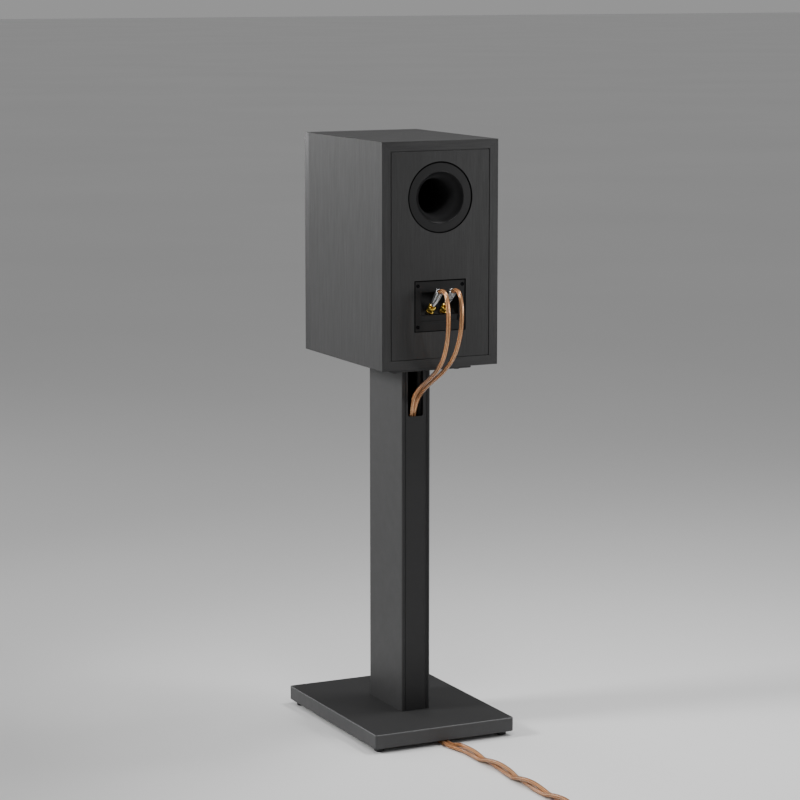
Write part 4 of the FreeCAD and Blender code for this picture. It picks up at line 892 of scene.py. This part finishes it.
def make_knurled_nuts():
    """Gold nuts with straight flutes round a grip between two smooth bevels."""
    profile = [
        (3.06, 4.9),
        (4.6, 4.9),
        (5.9, 4.95),
        (6.18, 5.2),
        (6.28, 5.5),
        (6.28, 6.0),
        (5.75, 6.3),
        (5.75, 6.6),
        (6.28, 6.9),
        (6.3, 7.5),
        (6.3, 9.5),
        (6.3, 11.5),
        (6.3, 13.3),
        (6.2, 13.9),
        (5.95, 14.5),
        (5.6, 14.85),
        (5.2, 14.9),
        (4.6, 14.6),
        (4.0, 14.1),
        (3.4, 13.9),
        (3.06, 13.6),
        (3.06, 10.0),
    ]
    flute_depth = 0.32

    def fluted(radius, along, angle):
        if 6.8 < along < 14.4 and radius > 5.5:
            return radius - flute_depth * (0.5 + 0.5 * math.cos(FLUTES * angle)) ** 2
        return radius

    for side, origin in POSTS.items():
        vertices, faces = turned(profile, axis_place(origin, POST_AXIS), FLUTES * 8, fluted)
        body = f"post_nut_{side}"
        nut = add_mesh(f"knurled_nut_{side}", vertices, faces, [LOOKS["knurled"]], body, 40)
        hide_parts(f"binding_post_nut_{side}")


def make_sleeve_inserts():
    """Dark inserts that close each sleeve's end round its conductor."""
    profile = [(3.52, 50.9), (4.2, 51.1), (4.7, 50.9), (4.78, 50.4), (4.78, 45.0), (3.52, 45.0)]
    for side, origin in POSTS.items():
        vertices, faces = turned(profile, axis_place(origin, POST_AXIS), 48)
        insert = add_mesh(f"sleeve_insert_{side}", vertices, faces, [LOOKS["collar"]])


def make_rim_shadows():
    """A thin near-black band round the rims of the terminal plate and of the port's flange, wider towards
    +X and the top: a painted shadow where they meet the rear panel.
    """
    proud, thickness = 0.00012, 0.0007
    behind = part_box("rear_panel")[1][1] + proud
    under = behind - thickness
    tucked_in = -0.0002
    low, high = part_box("terminal_cup")
    rims = []
    # The painted shadow is wider towards +X and the top.
    for right, left in ((0.0008, 0.0015), (tucked_in, tucked_in)):
        x0, x1 = low[0] - right, high[0] + left
        z0, z1 = low[2] - right, high[2] + left
        rims.append([(x0, z0), (x1, z0), (x1, z1), (x0, z1)])
    low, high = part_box("port_flare")
    radius = (high[0] - low[0]) / 2
    rings = []
    for grown, shift in ((0.0011, 0.0004), (tucked_in, 0)):
        x = (low[0] + high[0]) / 2 + shift
        z = (low[2] + high[2]) / 2 + shift
        r = radius + grown
        angles = [2 * math.pi * i / 96 for i in range(96)]
        rings.append([(x + r * math.cos(a), z + r * math.sin(a)) for a in angles])
    for name, (outer, inner) in (("terminal_rim_shadow", rims), ("port_rim_shadow", rings)):
        loops = [(outer, under), (outer, behind), (inner, behind), (inner, under)]
        vertices = [(x, y, z) for loop, y in loops for x, z in loop]
        faces = [tuple(reversed(f)) for f in grid_faces(4, len(outer), close_rows=True)]
        add_mesh(name, vertices, faces, [LOOKS["painted_rim_shadow"]])


make_knurled_nuts()
make_sleeve_inserts()
make_rim_shadows()


# ---------------------------------------------------------------- floor and lights


def make_floor():
    """A plain pale floor, large enough to meet the horizon."""
    n = Nodes("floor")
    cloud = n.noise(n.space(), 0.6, 3, 0.5)
    n.set(Base_Color=n.ramp(cloud, (0.3, 0.76), (0.7, 0.79)), Roughness=0.75)
    size = 60.0
    mesh = bpy.data.meshes.new("floor")
    corners = [(-size, -size, 0), (size, -size, 0), (size, size, 0), (-size, size, 0)]
    mesh.from_pydata(corners, [], [(0, 1, 2, 3)])
    mesh.materials.append(n.material)
    floor = bpy.data.objects.new("floor", mesh)
    bpy.context.scene.collection.objects.link(floor)


def make_light(name, place, target, size, power, spread=180):
    """A rectangular light, its spread in degrees, turned to a target."""
    data = bpy.data.lights.new(name, "AREA")
    data.spread = math.radians(spread)
    data.shape = "RECTANGLE"
    data.size, data.size_y = size
    data.energy = power
    light = bpy.data.objects.new(name, data)
    light.location = place
    light.rotation_mode = "QUATERNION"
    light.rotation_quaternion = (Vector(target) - Vector(place)).to_track_quat("-Z", "Y")
    bpy.context.scene.collection.objects.link(light)


def make_studio():
    """Even light from all round, and lights that draw the top, the edges, the side and the floor."""
    world = bpy.data.worlds.new("studio")
    world.use_nodes = True
    background = world.node_tree.nodes["Background"]
    background.inputs["Color"].default_value = (1.0, 1.0, 1.0, 1)
    background.inputs["Strength"].default_value = 0.33
    bpy.context.scene.world = world
    make_light("key", (0.5, -1.3, 1.12), (0.1, 0, 0.8), (0.5, 0.5), 3.3)
    make_light("top", (-1.0, 0.15, 2.4), (0, 0, 0.9), (0.6, 0.6), 27)
    make_light("fill", (-0.9, 1.0, 0.9), (0, 0.12, 0.75), (0.4, 0.4), 6.4)
    make_light("front", (1.9, -2.8, 1.1), (0, 0, 0.7), (1.6, 1.4), 13)
    make_light("side", (1.7, -0.3, 1.3), (0.1, 0, 0.6), (0.4, 0.4), 4.6, spread=60)
    make_light("pool", (0.3, 0.9, 2.1), (0, 0.75, 0.0), (0.3, 0.3), 2.6, spread=75)


make_floor()
make_studio()
